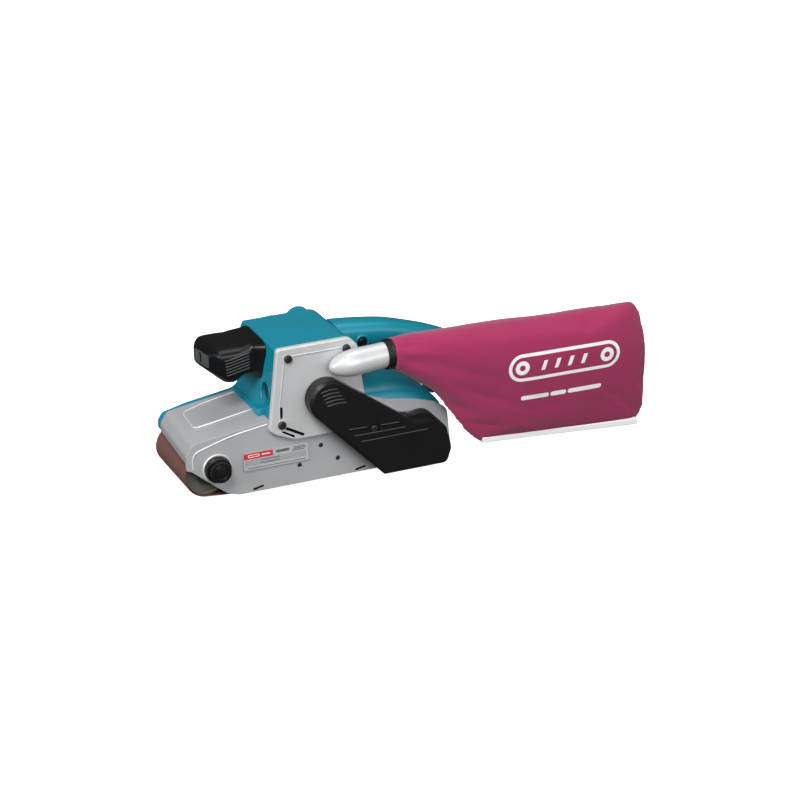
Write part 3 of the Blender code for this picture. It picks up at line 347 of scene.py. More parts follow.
def block(name, low, high):
    shape = bmesh.new()
    bmesh.ops.create_cube(shape, size=1)
    for vert in shape.verts:
        vert.co = Vector([((a + b) / 2 + co * (b - a)) * MM for co, a, b in zip(vert.co, low, high)])
    return to_object(name, shape)


def slice_at(shape, place, normal, clear=False):
    """Cuts a shape's faces along a plane, and clears what lies beyond it if asked."""
    everything = shape.verts[:] + shape.edges[:] + shape.faces[:]
    bmesh.ops.bisect_plane(shape, geom=everything, plane_co=place, plane_no=normal, clear_outer=clear)


def loft(name, rows, caps=True, ring=True):
    """A skin over rows of points, each row a ring or an open line, in millimetres."""
    shape = bmesh.new()
    made = [[shape.verts.new([co * MM for co in point]) for point in row] for row in rows]
    for first, second in zip(made, made[1:]):
        count = len(first)
        for index in range(count if ring else count - 1):
            after = (index + 1) % count
            shape.faces.new((first[index], first[after], second[after], second[index]))
    if caps:
        shape.faces.new(made[0][::-1])
        shape.faces.new(made[-1])
    bmesh.ops.recalc_face_normals(shape, faces=shape.faces)
    return to_object(name, shape)


def boolean(target, tool, operation):
    modifier = target.modifiers.new("boolean", "BOOLEAN")
    modifier.operation = operation
    modifier.solver = "MANIFOLD"
    modifier.object = tool
    bake(target)
    drop(tool)


def cut(target, *tools):
    for tool in tools:
        boolean(target, tool, "DIFFERENCE")


def join(target, *tools):
    for tool in tools:
        boolean(target, tool, "UNION")


def weld_in(target, *others):
    """Puts other objects' meshes into the target's, without a Boolean."""
    shape = bmesh.new()
    shape.from_mesh(target.data)
    for other in others:
        shape.from_mesh(other.data)
        drop(other)
    shape.to_mesh(target.data)
    shape.free()
    return target


def bevel(obj, width, segments=3, chosen=None, angle=30):
    """Rounds sharp edges, or only those of which the test accepts both ends, given in millimetres."""
    if chosen:
        weights = obj.data.attributes.new("bevel_weight_edge", "FLOAT", "EDGE")
        for edge in obj.data.edges:
            ends = [obj.data.vertices[index].co / MM for index in edge.vertices]
            weights.data[edge.index].value = float(all(chosen(end) for end in ends))
    modifier = obj.modifiers.new("bevel", "BEVEL")
    modifier.width = width * MM
    modifier.segments = segments
    modifier.limit_method = "WEIGHT" if chosen else "ANGLE"
    modifier.angle_limit = math.radians(angle)
    modifier.use_clamp_overlap = True
    bake(obj)
    if chosen and "bevel_weight_edge" in obj.data.attributes:
        obj.data.attributes.remove(obj.data.attributes["bevel_weight_edge"])


def tube(name, points, radius, sides=12):
    """A round wire along the points, in millimetres."""
    curve = bpy.data.curves.new(name, "CURVE")
    curve.dimensions = "3D"
    curve.bevel_depth = radius * MM
    curve.bevel_resolution = max(1, sides // 4 - 1)
    curve.use_fill_caps = True
    spline = curve.splines.new("POLY")
    spline.points.add(len(points) - 1)
    for point, place in zip(spline.points, points):
        point.co = (*[co * MM for co in place], 1)
    return add_object(name, meshed(curve))


def piece(obj, material, replaces=(), body="sander", sharp=35):
    """Shades a finished piece, gives it its material and hands it to the frame."""
    obj.data.materials.clear()
    obj.data.materials.append(material)
    obj.data.shade_smooth()
    obj.data.set_sharp_from_angle(angle=math.radians(sharp))
    weighted = obj.modifiers.new("even_normals", "WEIGHTED_NORMAL")
    weighted.keep_sharp = True
    weighted.weight = 50
    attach(obj, body)
    if replaces:
        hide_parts(*replaces)


# --- materials


def linear(colour):
    channels = []
    for channel in colour:
        value = channel / 255
        channels.append(value / 12.92 if value <= 0.04045 else ((value + 0.055) / 1.055) ** 2.4)
    return channels


def set_inputs(node, **values):
    """Sets a shader node's inputs, named with _ for a space."""
    for name, value in values.items():
        node.inputs[name.replace("_", " ")].default_value = value


def add_node(tree, kind, **values):
    node = tree.nodes.new("ShaderNode" + kind)
    set_inputs(node, **values)
    return node


def surface(
    name, colour, roughness=0.5, metallic=0.0, shift=0.06, shift_scale=30.0, grain=0.05,
    grain_scale=1500.0, coat=0.0, sheen=0.0, specular=0.5,
):
    """A material with a slight cloudy change of colour, a fine bump and an uneven roughness."""
    material = bpy.data.materials.new(name)
    material.use_nodes = True
    tree = material.node_tree
    link = tree.links.new
    shader = tree.nodes["Principled BSDF"]
    place = add_node(tree, "TexCoord")
    cloud = add_node(tree, "TexNoise", Scale=shift_scale, Detail=4)
    link(place.outputs["Object"], cloud.inputs["Vector"])
    base = linear(colour)
    mix = add_node(tree, "Mix")
    mix.data_type = "RGBA"
    mix.inputs["A"].default_value = (*[min(1, c * (1 - shift)) for c in base], 1)
    mix.inputs["B"].default_value = (*[min(1, c * (1 + shift)) for c in base], 1)
    link(cloud.outputs["Fac"], mix.inputs["Factor"])
    link(mix.outputs["Result"], shader.inputs["Base Color"])
    fine = add_node(tree, "TexNoise", Scale=grain_scale, Detail=3)
    link(place.outputs["Object"], fine.inputs["Vector"])
    bump = add_node(tree, "Bump", Strength=grain, Distance=0.0004)
    link(fine.outputs["Fac"], bump.inputs["Height"])
    link(bump.outputs["Normal"], shader.inputs["Normal"])
    low, high = max(0.02, roughness - 0.06), min(1.0, roughness + 0.06)
    spread = add_node(tree, "MapRange", To_Min=low, To_Max=high)
    link(cloud.outputs["Fac"], spread.inputs["Value"])
    link(spread.outputs["Result"], shader.inputs["Roughness"])
    set_inputs(shader, Metallic=metallic, Coat_Weight=coat, Coat_Roughness=0.15)
    set_inputs(shader, Sheen_Weight=sheen, Specular_IOR_Level=specular)
    return material


def weave(material, scale, strength):
    """Adds a cloth's weave to a material's bump."""
    tree = material.node_tree
    link = tree.links.new
    place = next(node for node in tree.nodes if node.type == "TEX_COORD")
    bump = next(node for node in tree.nodes if node.type == "BUMP")
    total = None
    for axis in ("X", "Z"):
        wave = add_node(tree, "TexWave", Scale=scale, Distortion=0.4)
        wave.bands_direction = axis
        link(place.outputs["Object"], wave.inputs["Vector"])
        if total is None:
            total = wave.outputs["Fac"]
        else:
            product = add_node(tree, "Math")
            product.operation = "MULTIPLY"
            link(total, product.inputs[0])
            link(wave.outputs["Fac"], product.inputs[1])
            total = product.outputs["Value"]
    link(total, bump.inputs["Height"])
    set_inputs(bump, Strength=strength)


TEAL = surface("teal_plastic", (6, 128, 149), 0.38, shift=0.05, grain=0.04, grain_scale=900, coat=0.1)
SILVER = surface("silver_casting", (176, 178, 180), 0.42, 0.25, shift=0.03, grain=0.10, grain_scale=1800)
SILVER_PALE = surface("silver_outlet", (196, 197, 198), 0.36, 0.2, shift=0.03, grain=0.06, grain_scale=1800)
BLACK = surface("black_cover", (16, 16, 18), 0.38, shift=0.08, grain=0.10, grain_scale=1400, specular=0.3)
GRIP = surface("black_grip", (11, 12, 14), 0.32, shift=0.08, grain=0.12, grain_scale=1100, specular=0.3)
# Lighter grey than the black plastic: painted highlights on the ribs and ridges.
RIB_HIGHLIGHT = surface("black_rib_painted_highlight", (38, 40, 43), 0.35, shift=0.08, grain=0.06, grain_scale=1400, specular=0.5)
RUBBER = surface("black_rubber", (13, 13, 14), 0.5, shift=0.1, grain=0.10, grain_scale=700, specular=0.35)
STEEL = surface("bare_steel", (168, 168, 170), 0.3, 1.0, shift=0.05, grain=0.06, grain_scale=2500)
SOOTY = surface("dark_steel", (64, 62, 59), 0.42, 0.7, shift=0.1, grain=0.08, grain_scale=1600)
ROLLER_END = surface("roller_end", (92, 90, 82), 0.5, 0.3, shift=0.12, grain=0.12, grain_scale=1600)
ALUMINIUM = surface("roller_aluminium", (120, 121, 124), 0.4, 0.8, shift=0.08, grain=0.08, grain_scale=1600)
COPPER = surface("commutator_copper", (176, 98, 62), 0.3, 1.0, shift=0.08)
CARBON = surface("carbon", (36, 36, 38), 0.75, shift=0.1, grain=0.15, grain_scale=900)
GRIT = surface(
    "abrasive_cloth", (108, 72, 66), 0.92, shift=0.16, shift_scale=160, grain=0.9, grain_scale=2600
)
CLOTH = surface("bag_cloth", (150, 40, 84), 0.85, shift=0.05, shift_scale=18, sheen=0.25, specular=0.2)
weave(CLOTH, 330, 0.25)
SEAM = surface("bag_seam", (136, 36, 76), 0.85, shift=0.06, sheen=0.2, specular=0.2)
weave(SEAM, 500, 0.4)
PRINT = surface("white_print", (238, 236, 236), 0.6, shift=0.02)
STRIP = surface("white_strip", (232, 232, 230), 0.35, shift=0.02, coat=0.1)
FOIL = surface("label_foil", (196, 197, 200), 0.35, 0.3, shift=0.02)
LABEL_RED = surface("label_red", (196, 52, 60), 0.4, shift=0.03)
LABEL_GREY = surface("label_grey", (92, 94, 100), 0.5, shift=0.05)
# Lighter, glossier silver than the casting: painted highlights on the ring and beads.
PAINTED_HIGHLIGHT_SILVER = surface("silver_painted_highlight", (208, 210, 212), 0.3, 0.2, shift=0.02, grain=0.05, grain_scale=1800)
# Near-black sheets at the bottom of slots: painted shade inside the slots.
SLOT_PAINTED_SHADE = surface("dark_painted_shade", (9, 12, 14), 0.8, shift=0.05, specular=0.1)
# Dark teal sheet at the bottom of the housing's vent: painted shade inside the vent.
VENT_PAINTED_SHADE = surface("teal_painted_shade", (10, 62, 72), 0.6, shift=0.05, specular=0.2)
GRIP_GREY = surface("grip_patch", (72, 76, 77), 0.6, shift=0.08, grain=0.2, grain_scale=1100, specular=0.3)

# --- frame casting

HOOD_FRONT = (-133, 68.4)
HOOD_REAR = (-48, 80.6)
PAD_LINE = rounded(
    [(-48.5, -22, 0), (-119, -24.5, 6), (-116.5, 24, 10), (-88, 31.5, 20), (-48.5, 34.5, 0)], closed=False
)
WALL_BEAD = [(-133.8, 40.5), (-134, 48), (-132.8, 54.6), (-128.8, 58.8)]
WALL_BEAD += [(-119.5, 62.2), (-87.8, 70.6), (-49.5, 76.2)]
DECK_LINE = [(59.7, 77.8), (82, 77), (104, 72.9), (126, 67.6), (146, 59.8), (157.8, 55.4)]
LOW_SLOTS = ((-63, 6.4, 1), (54, 6.4, 1))
PLATE_FIELD = rounded(
    [(-23.5, 58, 0), (-37.6, 66.5, 5), (-37, 95, 0), (-28.6, 149.6, 3), (36.5, 149.6, 0)], closed=False
)
PLATE_SLOTS = (
    ((-35.2, 82.5), (-34.6, 92.5)),
    ((-29, 69), (-11.4, 59.2)),
    ((-33.8, 65.2), (-22.4, 59)),
)


def hood_z(x):
    """The hood's height at a place along the tool."""
    slope = (HOOD_REAR[1] - HOOD_FRONT[1]) / (HOOD_REAR[0] - HOOD_FRONT[0])
    return HOOD_REAR[1] - (HOOD_REAR[0] - x) * slope


def on_hood(point):
    return point.z > hood_z(point.x) - 34 and point.x < HOOD_REAR[0] + 1


def frame_outline():
    return rounded(
        [
            (-84, 2.4, 5), (-96.5, 6.2, 6), (-109, 15.6, 6), (-127.5, 31.5, 5), (-136, 38.4, 3),
            (-140.9, 39.8, 2), (-141, 56, 8), (*HOOD_FRONT, 11), (*HOOD_REAR, 0), (59.4, 80.6, 0),
            (61, 89, 0), (89.3, 78.6, 30), (120.3, 73.2, 30), (143.1, 66.2, 24), (157.2, 57, 12),
            (160.2, 9, 6), (153, 2.6, 5),
        ]
    )


def belt_space_outline():
    """What the belt and rollers take up inside the casting, open at the front and below."""
    return rounded(
        [
            (-170, -20, 0), (-170, 47.5, 0), (-137.2, 47.5, 0), (-137.2, 55, 5), (-131, 65.4, 9),
            (-48, 77.2, 0), (-48, 75.2, 0), (60.9, 74.9, 0), (82, 73, 30), (124, 64, 38),
            (155.5, 51.5, 11), (157, 5, 0), (157, -20, 0),
        ]
    )


def cover_outline():
    corners = [(x, z, 0) for x, z in arc(MOTOR, 22.5, 224, 58, 16)]
    corners += [
        (79.2, 79.3, 30), (108.6, 58.6, 5), (128, 59, 16), (149.4, 36, 16), (152, 19, 10),
        (146.5, 3.2, 7), (73, 3.2, 3),
    ]
    return rounded(corners)[::-1]


def rear_lobe_outline():
    """The cover's higher rear part, behind its face."""
    corners = [
        (88, 58, 0), (95, 68.6, 4), (108.5, 61.8, 14), (127.5, 65.8, 16), (151.6, 40, 16),
        (154.4, 19, 9), (149, 3.2, 7), (90, 3.2, 3),
    ]
    return rounded(corners)[::-1]


def slant(obj):
    """Sets the far side of the hood's front a little back."""
    for vert in obj.data.vertices:
        share = clamp((-92 - vert.co.x / MM) / 38)
        vert.co.x += 0.053 * (vert.co.y - WALL_NEAR * MM) * share * share * (3 - 2 * share)


def hood_pad():
    """The raised field on the hood."""
    pad_low, pad_high = ([(x, hood_z(x) + rise) for x in (-119.5, -47.9)] for rise in (-1.5, 1.2))
    pad = slab("hood_pad", [pad_low + pad_high[::-1]], -60, 60)
    plan = PAD_LINE + [(-40, PAD_LINE[-1][1]), (-40, PAD_LINE[0][1])]
    boolean(pad, slab("pad_plan", [plan], 50, 100, "Z"), "INTERSECT")
    return pad


def platen_beam():
    """The beam between the belt's runs, with the arm that holds the drive shaft's far bearing."""
    beam = block("beam", (-56, -58, 5.3), (84, FRAME_FAR, 45.4))
    bevel(beam, 1.0, 2)
    cut(beam, block("pocket", (-46, -46, 13), (72, 60, 38)))
    cut(beam, rod("slide_guide", 6.4, -62, -40, (0, AXLE_HEIGHT), axis="X"))
    arm_outline = hull(circle(REAR_AXLE, 12) + [(70, 16), (80, 16), (80, 38), (70, 38)])
    arm = slab("bearing_arm", [arm_outline, circle(REAR_AXLE, 9.1)], 49, 53.4)
    bevel(arm, 0.8, 2)
    arm_block = block("arm_block", (60, 43, 13.5), (83.5, 53.8, 40.5))
    join(beam, arm_block, arm)
    return beam


def casting_beads():
    """The ring round the knob and the beads along the wall and the raised field, in a lighter silver that
    stands for their painted highlights.
    """
    ring_profile = [(14.6, -59), (14.6, -61), (15, -61.5), (15.7, -61.4), (16.2, -60.8), (16.2, -59)]
    ring = revolve("knob_ring", ring_profile, KNOB, 72, closed=True)
    wall_bead = tube("wall_bead", [(x, WALL_NEAR, z) for x, z in smooth_line(WALL_BEAD, 6)], 0.75)
    pad_bead = tube("pad_bead", [(x, y, hood_z(x) + 0.9) for x, y in PAD_LINE], 0.85)
    piece(weld_in(ring, wall_bead, pad_bead), PAINTED_HIGHLIGHT_SILVER)


def frame_casting():
    casting = slab("frame_casting", [frame_outline()], WALL_NEAR, FRAME_FAR)
    bevel(casting, 5.0, 5, lambda p: p.y < WALL_NEAR + 0.1 and on_hood(p))
    bevel(casting, 9.0, 6, lambda p: p.y > FRAME_FAR - 0.1 and on_hood(p))
    bevel(casting, 2.4, 4, lambda p: p.y < WALL_NEAR + 0.1 and p.z > 20 and p.x > 63)
    cut(casting, slab("belt_space", [belt_space_outline()], -56, 60))
    cut(casting, block("under_housing", (-46.9, -70, 56), (59.2, 50, 100)))
    slant(casting)
    join(casting, slab("wall_behind_plate", [[(-49, 40), (61, 40), (61, 79), (-49, 79)]], WALL_NEAR, -56))
    deck = [(x, z + 0.2) for x, z in DECK_LINE] + [(170, 50), (170, 100), (59.5, 100)]
    cut(casting, slab("deck_step", [deck], -55.5, 60))
    join(casting, hood_pad())
    for outline, front in ((cover_outline(), -69.5), (rear_lobe_outline(), -63.5)):
        boss = slab("cover_boss", [offset(outline, 3)], front, -57)
        cut(boss, block("boss_front", (-60, -80, -10), (62.3, -50, 150)))
        join(casting, boss)
    for index, (x, z, tilt) in enumerate(LOW_SLOTS):
        shape = capsule((x - 4.8, z - tilt), (x + 4.8, z + tilt), 1.4, 16)
        cut(casting, slab(f"low_slot_{index}", [shape], -64, -58.4))
        # A near-black sheet below the wall's surface paints the shade inside the slot.
        piece(slab(f"low_slot_shade_{index}", [shape], -59.2, -58.3), SLOT_PAINTED_SHADE)
    cut(casting, rod("tracking_hole", 3.6, -64, -50, KNOB))
    for x, z in WALL_SCREWS:
        cut(casting, rod("screw_hole", 2.0, -64, -50, (x, z), 24))
        profile = [(0, -57.8), (2.1, -57.8), (2.7, WALL_NEAR), (2.7, -63), (0, -63)]
        cut(casting, revolve("screw_sink", profile, (x, z), 32))
    cut(casting, rod("shaft_hole", 13.4, -75, -50, REAR_AXLE))
    join(casting, platen_beam())
    casting_beads()
    piece(casting, SILVER, ["main_frame"])


def guard_skin():
    corners = [(-134.9, 46.8, 0), (-134.6, 56.5, 6), (-129.6, 64.2, 8), (-103, 70.4, 60), (-48.5, 78.6, 0)]
    line = rounded(corners, closed=False)
    guard = slab("guard_skin", [line + offset(line, -4.2, closed=False)[::-1]], 44.3, 56)
    bevel(guard, 1.3, 3)
    piece(guard, TEAL, ["right_guard"])


# --- housing


def housing_shell():
    side = rounded(
        [
            (-46.5, 79.5, 0), (59, 79.5, 0), (53, 150, 13), (45, 158.5, 12),
            (-37.3, 158.5, 2.5),
        ],
        steps=8,
    )
    shell = slab("housing_shell", [side], WALL_NEAR, HOUSING_FAR)
    bevel(shell, 3.0, 4, lambda p: abs(p.y - HOUSING_FAR) < 0.1 and p.z > 80)
    foot = block("housing_foot", (-46.3, -55.3, 56.4), (58.8, 41.8, 82))
    join(shell, foot)
    skirt_side = [(-44, 97), (-44.7, 91), (-46.2, 87), (-49.5, 84.2), (-53, 82.6), (-53, 80.9), (-44, 80.9)]
    skirt = slab("skirt", [skirt_side], -30, 45)
    bevel(skirt, 0.6, 2)
    join(shell, skirt)
    tab = block("skirt_tab", (-54, -44, 80.2), (-44, -29, 88))
    bevel(tab, 1.6, 3)
    join(shell, tab)
    cut(shell, rod("stator_bore", 36.5, -48, 60, MOTOR, 96))
    cut(shell, rod("bearing_seat", 13.3, -70, -40, MOTOR))
    vent = circle((-44.5, 105.5), 11.5, 48)
    cut(shell, slab("vent_opening", [vent], -60, -40.2, "X"))
    groove = capsule((-53, 130), (-53, 150), 2.2, 24)
    cut(shell, slab("vent_groove", [groove], -60, -39.6, "X"))
    for x, z in PLATE_SCREWS:
        cut(shell, rod("screw_way", 2.5, -70, -50, (x, z), 24))
    piece(shell, TEAL, ["motor_housing"])
    # A dark teal sheet inside the vent opening paints the shade within it.
    shade = slab("vent_shade", [offset(vent, 0.1)], -40.9, -39.8, "X")
    piece(shade, VENT_PAINTED_SHADE)
    ring_points = [(-43.9 + (z - 108) * 0.117, y, z) for y, z in offset(vent, -0.7)]
    ring_points.append(ring_points[0])
    piece(tube("vent_ring", ring_points, 0.8), TEAL)
    crease = tube("skirt_crease", [(-49.8, y, 84.7) for y in (-28, 44)], 0.55)
    piece(crease, TEAL)


def end_cap_shell():
    flange_corners = [(-44, 57.3, 4), (58, 57.3, 4), (55, 146, 14), (47, 155, 8), (42, 155.4, 0)]
    flange_corners += [(x, z, 0) for x, z in arc((29.5, 146), 15.0, 38, 142, 16)]
    flange_corners += [(16.5, 155.4, 0), (-36, 154.8, 8)]
    loops = [rounded(flange_corners), circle(MOTOR, 37.5, 96)]
    flange = slab("end_cap_shell", loops, HOUSING_FAR + 0.3, CAP_FAR)
    bevel(flange, 1.6, 3, lambda p: abs(p.y - CAP_FAR) < 0.1 and math.dist((p.x, p.z), MOTOR) > 39)
    profile = [(0, 105), (20, 105), (26, 104.7), (31, 103.9), (35, 102.4), (38, 99.9), (40.3, 96)]
    profile += [(41.5, 91), (42, 84), (42, 45), (38.5, 45), (38.5, 95), (35, 98), (15, 98), (15, 87)]
    profile += [(11.3, 87), (11.3, 98.5), (0, 98.5)]
    can = revolve("can", profile, MOTOR, 96)
    join(flange, can)
    for low, high in ((MOTOR[0] - 60, MOTOR[0] - 25), (MOTOR[0] + 25, MOTOR[0] + 60)):
        cut(flange, rod("brush_way", 7.3, low, high, (54, MOTOR[1]), 40, axis="X"))
    for index in range(7):
        angle = 48 + 14 * index
        vent = block("vent", (34, 66, -1.6), (50, 92, 1.6))
        bevel(vent, 1.2, 3)
        centre = Vector((MOTOR[0], 0, MOTOR[1])) * MM
        vent.data.transform(Matrix.Translation(centre) @ Matrix.Rotation(math.radians(-angle), 4, "Y"))
        cut(flange, vent)
    piece(flange, TEAL, ["motor_end_cap"])


def plate_casting():
    corners = [
        (-49.3, 69, 7), (-40.5, 62.8, 8), (-22.5, 55.4, 5), (55.5, 55.4, 3), (59.7, 76, 20),
        (59.8, 94, 40), (57.8, 113, 40), (53.6, 150, 8), (45, 159.3, 10), (-36.8, 159, 4),
    ]
    plate = slab("plate_casting", [rounded(corners), circle(MOTOR, 9)], PLATE_NEAR, ON_WALL)
    bevel(plate, 2.0, 4, lambda p: abs(p.y - PLATE_NEAR) < 0.1 and math.dist((p.x, p.z), MOTOR) > 10)
    cut(plate, slab("plate_field", [PLATE_FIELD + [(90, 149.6), (90, 40), (-10, 40)]], -70, -64.9))
    for index, (first, second) in enumerate(PLATE_SLOTS):
        shape = capsule(first, second, 1.7)
        cut(plate, slab("plate_slot", [shape], -70, -62))
        # A near-black sheet below the plate's surface paints the shade inside the slot.
        piece(slab(f"plate_slot_shade_{index}", [shape], -63.4, -61.6), SLOT_PAINTED_SHADE)
    for x, z in PLATE_SCREWS:
        profile = [(0, -63), (6, -63), (6, -65.6), (5.6, -66.1), (0, -66.1)]
        join(plate, revolve("seat_ring", profile, (x, z), 40))
        cut(plate, rod("plate_hole", 2.5, -80, -50, (x, z), 24))
    nose = [(14.5 * math.cos(a), 48 - 31 * math.sin(a)) for a in map(math.radians, range(0, 85, 6))]
    profile = [(0, 80), (12.6, 80), (13.2, 80), (13.7, 79.4), (13.8, 66), *nose, (0, 17)]
    outlet = revolve("outlet", profile, NECK, 72, axis="X")
    for vert in outlet.data.vertices:
        vert.co.z -= max(0, 78 * MM - vert.co.x) * 0.07
    join(plate, outlet)
    cut(plate, rod("outlet_bore", 12.2, 62, 90, NECK, 64, axis="X"))
    # The bead's lighter silver is a painted highlight.
    bead = tube("plate_bead", [(x, -65.8, z) for x, z in PLATE_FIELD], 0.6)
    piece(bead, PAINTED_HIGHLIGHT_SILVER)
    piece(plate, SILVER_PALE, ["side_plate"])


COVER_RIDGES = ((33, 63.2, 54, 62.4), (70, 61.8, 91, 61.2), (38.5, 54.8, 98, 54.4), (46.5, 46.8, 124, 47.2))


def drive_cover():
    outer = cover_outline()
    cover = slab("drive_cover", [outer], COVER_NEAR, ON_WALL)
    bevel(cover, 4.8, 1, lambda p: abs(p.y - COVER_NEAR) < 0.1)
    bevel(cover, 0.8, 2, lambda p: p.y < -78.5)
    lobe = slab("cover_rear_lobe", [rear_lobe_outline()], LOBE_NEAR, ON_WALL)
    bevel(lobe, 2.0, 3, lambda p: abs(p.y - LOBE_NEAR) < 0.1)
    join(cover, lobe)
    cut(cover, slab("cover_inside", [offset(outer, 2.4)], -78.6, -50))
    cut(cover, block("over_plate", (-60, -66.3, 54.6), (60.6, -50, 140)))
    cut(cover, block("over_boss", (60.3, -70.3, -10), (104, -50, 140)))
    cut(cover, block("over_rear_boss", (103, -64.2, -10), (170, -50, 140)))
    post_profile = [(2, -60.3), (6.2, -60.3), (6.2, -82.4), (2, -82.4)]
    join(cover, revolve("cover_post", post_profile, COVER_SCREW, 40, closed=True))
    cut(cover, rod("head_way", 5.4, -90, -81.5, COVER_SCREW, 40))
    cut(cover, rod("shank_way", 2.1, -90, -50, COVER_SCREW, 24))
    for start, end in (((33.5, 61), (55, 60.2)), ((70, 59.6), (92, 59))):
        shape = capsule(start, end, 0.9, 12)
        cut(cover, slab("cover_groove", [shape], -90, -82.6))
    ribs = []
    for index in range(5):
        start = (3.5 + 1.6 * index, 109.6 - 4.0 * index)
        end = (21.5 + 2.6 * index, 111.2 - 4.2 * index)
        line = smooth_line([start, ((start[0] + end[0]) / 2, (start[1] + end[1]) / 2 + 1.2), end])
        ribs.append(tube("cover_rib", [(x, -83.9, z) for x, z in line], 0.85))
    for x0, z0, x1, z1 in COVER_RIDGES:
        ribs.append(tube("cover_ridge", [(x0, -83.9, z0), (x1, -83.9, z1)], 0.7))
    # The ribs and ridges are lighter grey than the cover: painted highlights.
    piece(weld_in(*ribs), RIB_HIGHLIGHT)
    piece(cover, BLACK, ["belt_cover"])


def rear_casing():
    """The glossy crowned casing over the rear roller."""
    top = [(59.7, 93), (80, 92), (104, 91), (124, 85.5), (142, 75), (152.5, 63.5)]
    front, rear = top[0][0], top[-1][0]
    middle, half, steps = -6.5, 48, 32
    rows = []
    for step in range(steps + 1):
        x = front + (rear - front) * step / steps
        low = along(DECK_LINE, x)
        height = along(top, x) - low
        row = []
        for index in range(steps + 1):
            t = -1 + 2 * index / steps
            rise = (1 - abs(t) ** 3.2) ** (1 / 2.2)
            row.append((x, middle + half * t, low + 0.3 + height * rise))
        row += [(x, middle + half - 3, low + 0.2), (x, middle - half + 3, low + 0.2)]
        rows.append(row)
    casing = loft("rear_casing", rows)
    bevel(casing, 1.5, 3, angle=60)
    piece(casing, TEAL, ["rear_housing"])


# --- handles

HANDLE_HALF_WIDTH = 19
HANDLE_POWER = 2 / 2.7
# The middle of the handle from its front end round to its rear one, as (x, z, half its depth).
HANDLE_LINE = (
    (45.5, 141.6, 14.9), (60, 140.6, 15), (82, 138, 15.1), (108, 133.8, 15.3), (134, 126.8, 15),
    (158, 119, 14.6), (180, 109.5, 14.2), (193.5, 98.5, 13.6), (197.5, 86, 13),
    (190.5, 74.5, 11.6), (176, 68, 10.2), (159, 64.8, 9),
)


def handle_rows():
    """Sections across the handle's line, each a rounded rectangle."""
    line = smooth_line(HANDLE_LINE, 7)
    rows = []
    for index, (x, z, half) in enumerate(line):
        before = line[max(0, index - 1)]
        after = line[min(len(line) - 1, index + 1)]
        tangent = Vector((after[0] - before[0], after[1] - before[1])).normalized()
        across = Vector((-tangent.y, tangent.x))
        row = []
        for c, s in turns(40):
            side = bulged(c, HANDLE_POWER) * HANDLE_HALF_WIDTH
            up = bulged(s, HANDLE_POWER) * half
            row.append((x + across.x * up, side, z + across.y * up))
        rows.append(row)
    return rows


def handle_halves():
    whole = loft("handle_whole", handle_rows())
    front = [(-20, 60), (59.9, 60), (59.9, 78), (50.7, 153.2), (43.4, 161), (40, 175), (-20, 175)]
    cut(whole, slab("housing_front", [front], -40, 40))
    cut(whole, block("casing_rear", (100, -40, 40), (158.3, 40, 80)))
    cut(whole, block("trigger_room", (85.5, -8, 90), (134.5, 8, 131)))
    cut(whole, block("switch_room", (86, -9, 130), (116, 9, 142.7)))
    cut(whole, rod("gland_room", 6.3, 198, 230, (0, 92), axis="X"))
    cut(whole, rod("lock_way", 5.7, -30, -6.5, LOCK_BUTTON))
    for name, keep in (("handle_left", -1), ("handle_right", 1)):
        shape = bmesh.new()
        shape.from_mesh(whole.data)
        slice_at(shape, (0, keep * 0.00012, 0), (0, -keep, 0), clear=True)
        rim = [edge for edge in shape.edges if edge.is_boundary]
        bmesh.ops.holes_fill(shape, edges=rim, sides=0)
        bmesh.ops.recalc_face_normals(shape, faces=shape.faces)
        half = to_object(name, shape)
        if keep > 0:
            for index, (x, z) in enumerate(HANDLE_SCREWS, 1):
                cut(half, rod("handle_screw_way", 4.2, 14.0, 25, (x, z), 32))
                socket_screw(f"handle_screw_{index}", (x, z), 14.2, 3.6, 2.4, away=1)
        piece(half, TEAL, ["rear_handle_" + name.split("_")[1]], sharp=45)
    drop(whole)
    profile = [(5.7, -18), (8.6, -18), (8.4, -20), (7.6, -20.9), (6.5, -20.9), (5.7, -20)]
    piece(revolve("lock_ring", profile, LOCK_BUTTON, 48, closed=True), TEAL)


def trigger_piece():
    corners = [(87.5, 129.2, 3), (129, 120.5, 3), (131, 104.5, 5), (109, 107.8, 40), (87.5, 116.5, 5)]
    made = slab("trigger_skin", [rounded(corners)], -7, 7)
    bevel(made, 1.8, 4)
    piece(made, GRIP, ["trigger"], "trigger")


def lock_button_piece():
    profile = [(0, -11.5), (5.2, -11.5), (5.2, -20.6), (4.9, -21.5), (4.1, -22.1)]
    profile += [(3, -22.2), (2.4, -21.8), (0, -21.7)]
    made = revolve("lock_button_skin", profile, LOCK_BUTTON, 40)
    piece(made, GRIP, ["lock_button"], "lock_button")


GRIP_FRONT = -94.4
GRIP_REAR = -38.9
GRIP_SLANT = 0.14
GRIP_MIDDLE = -16
GRIP_POWER = 2 / 6.5
GRIP_TILT = ((GRIP_FRONT, 1), (-90, 3.4), (-84, 4.8), (-70, 4.8), (-60, 3.4), (-50, 1.9), (GRIP_REAR, 1.7))
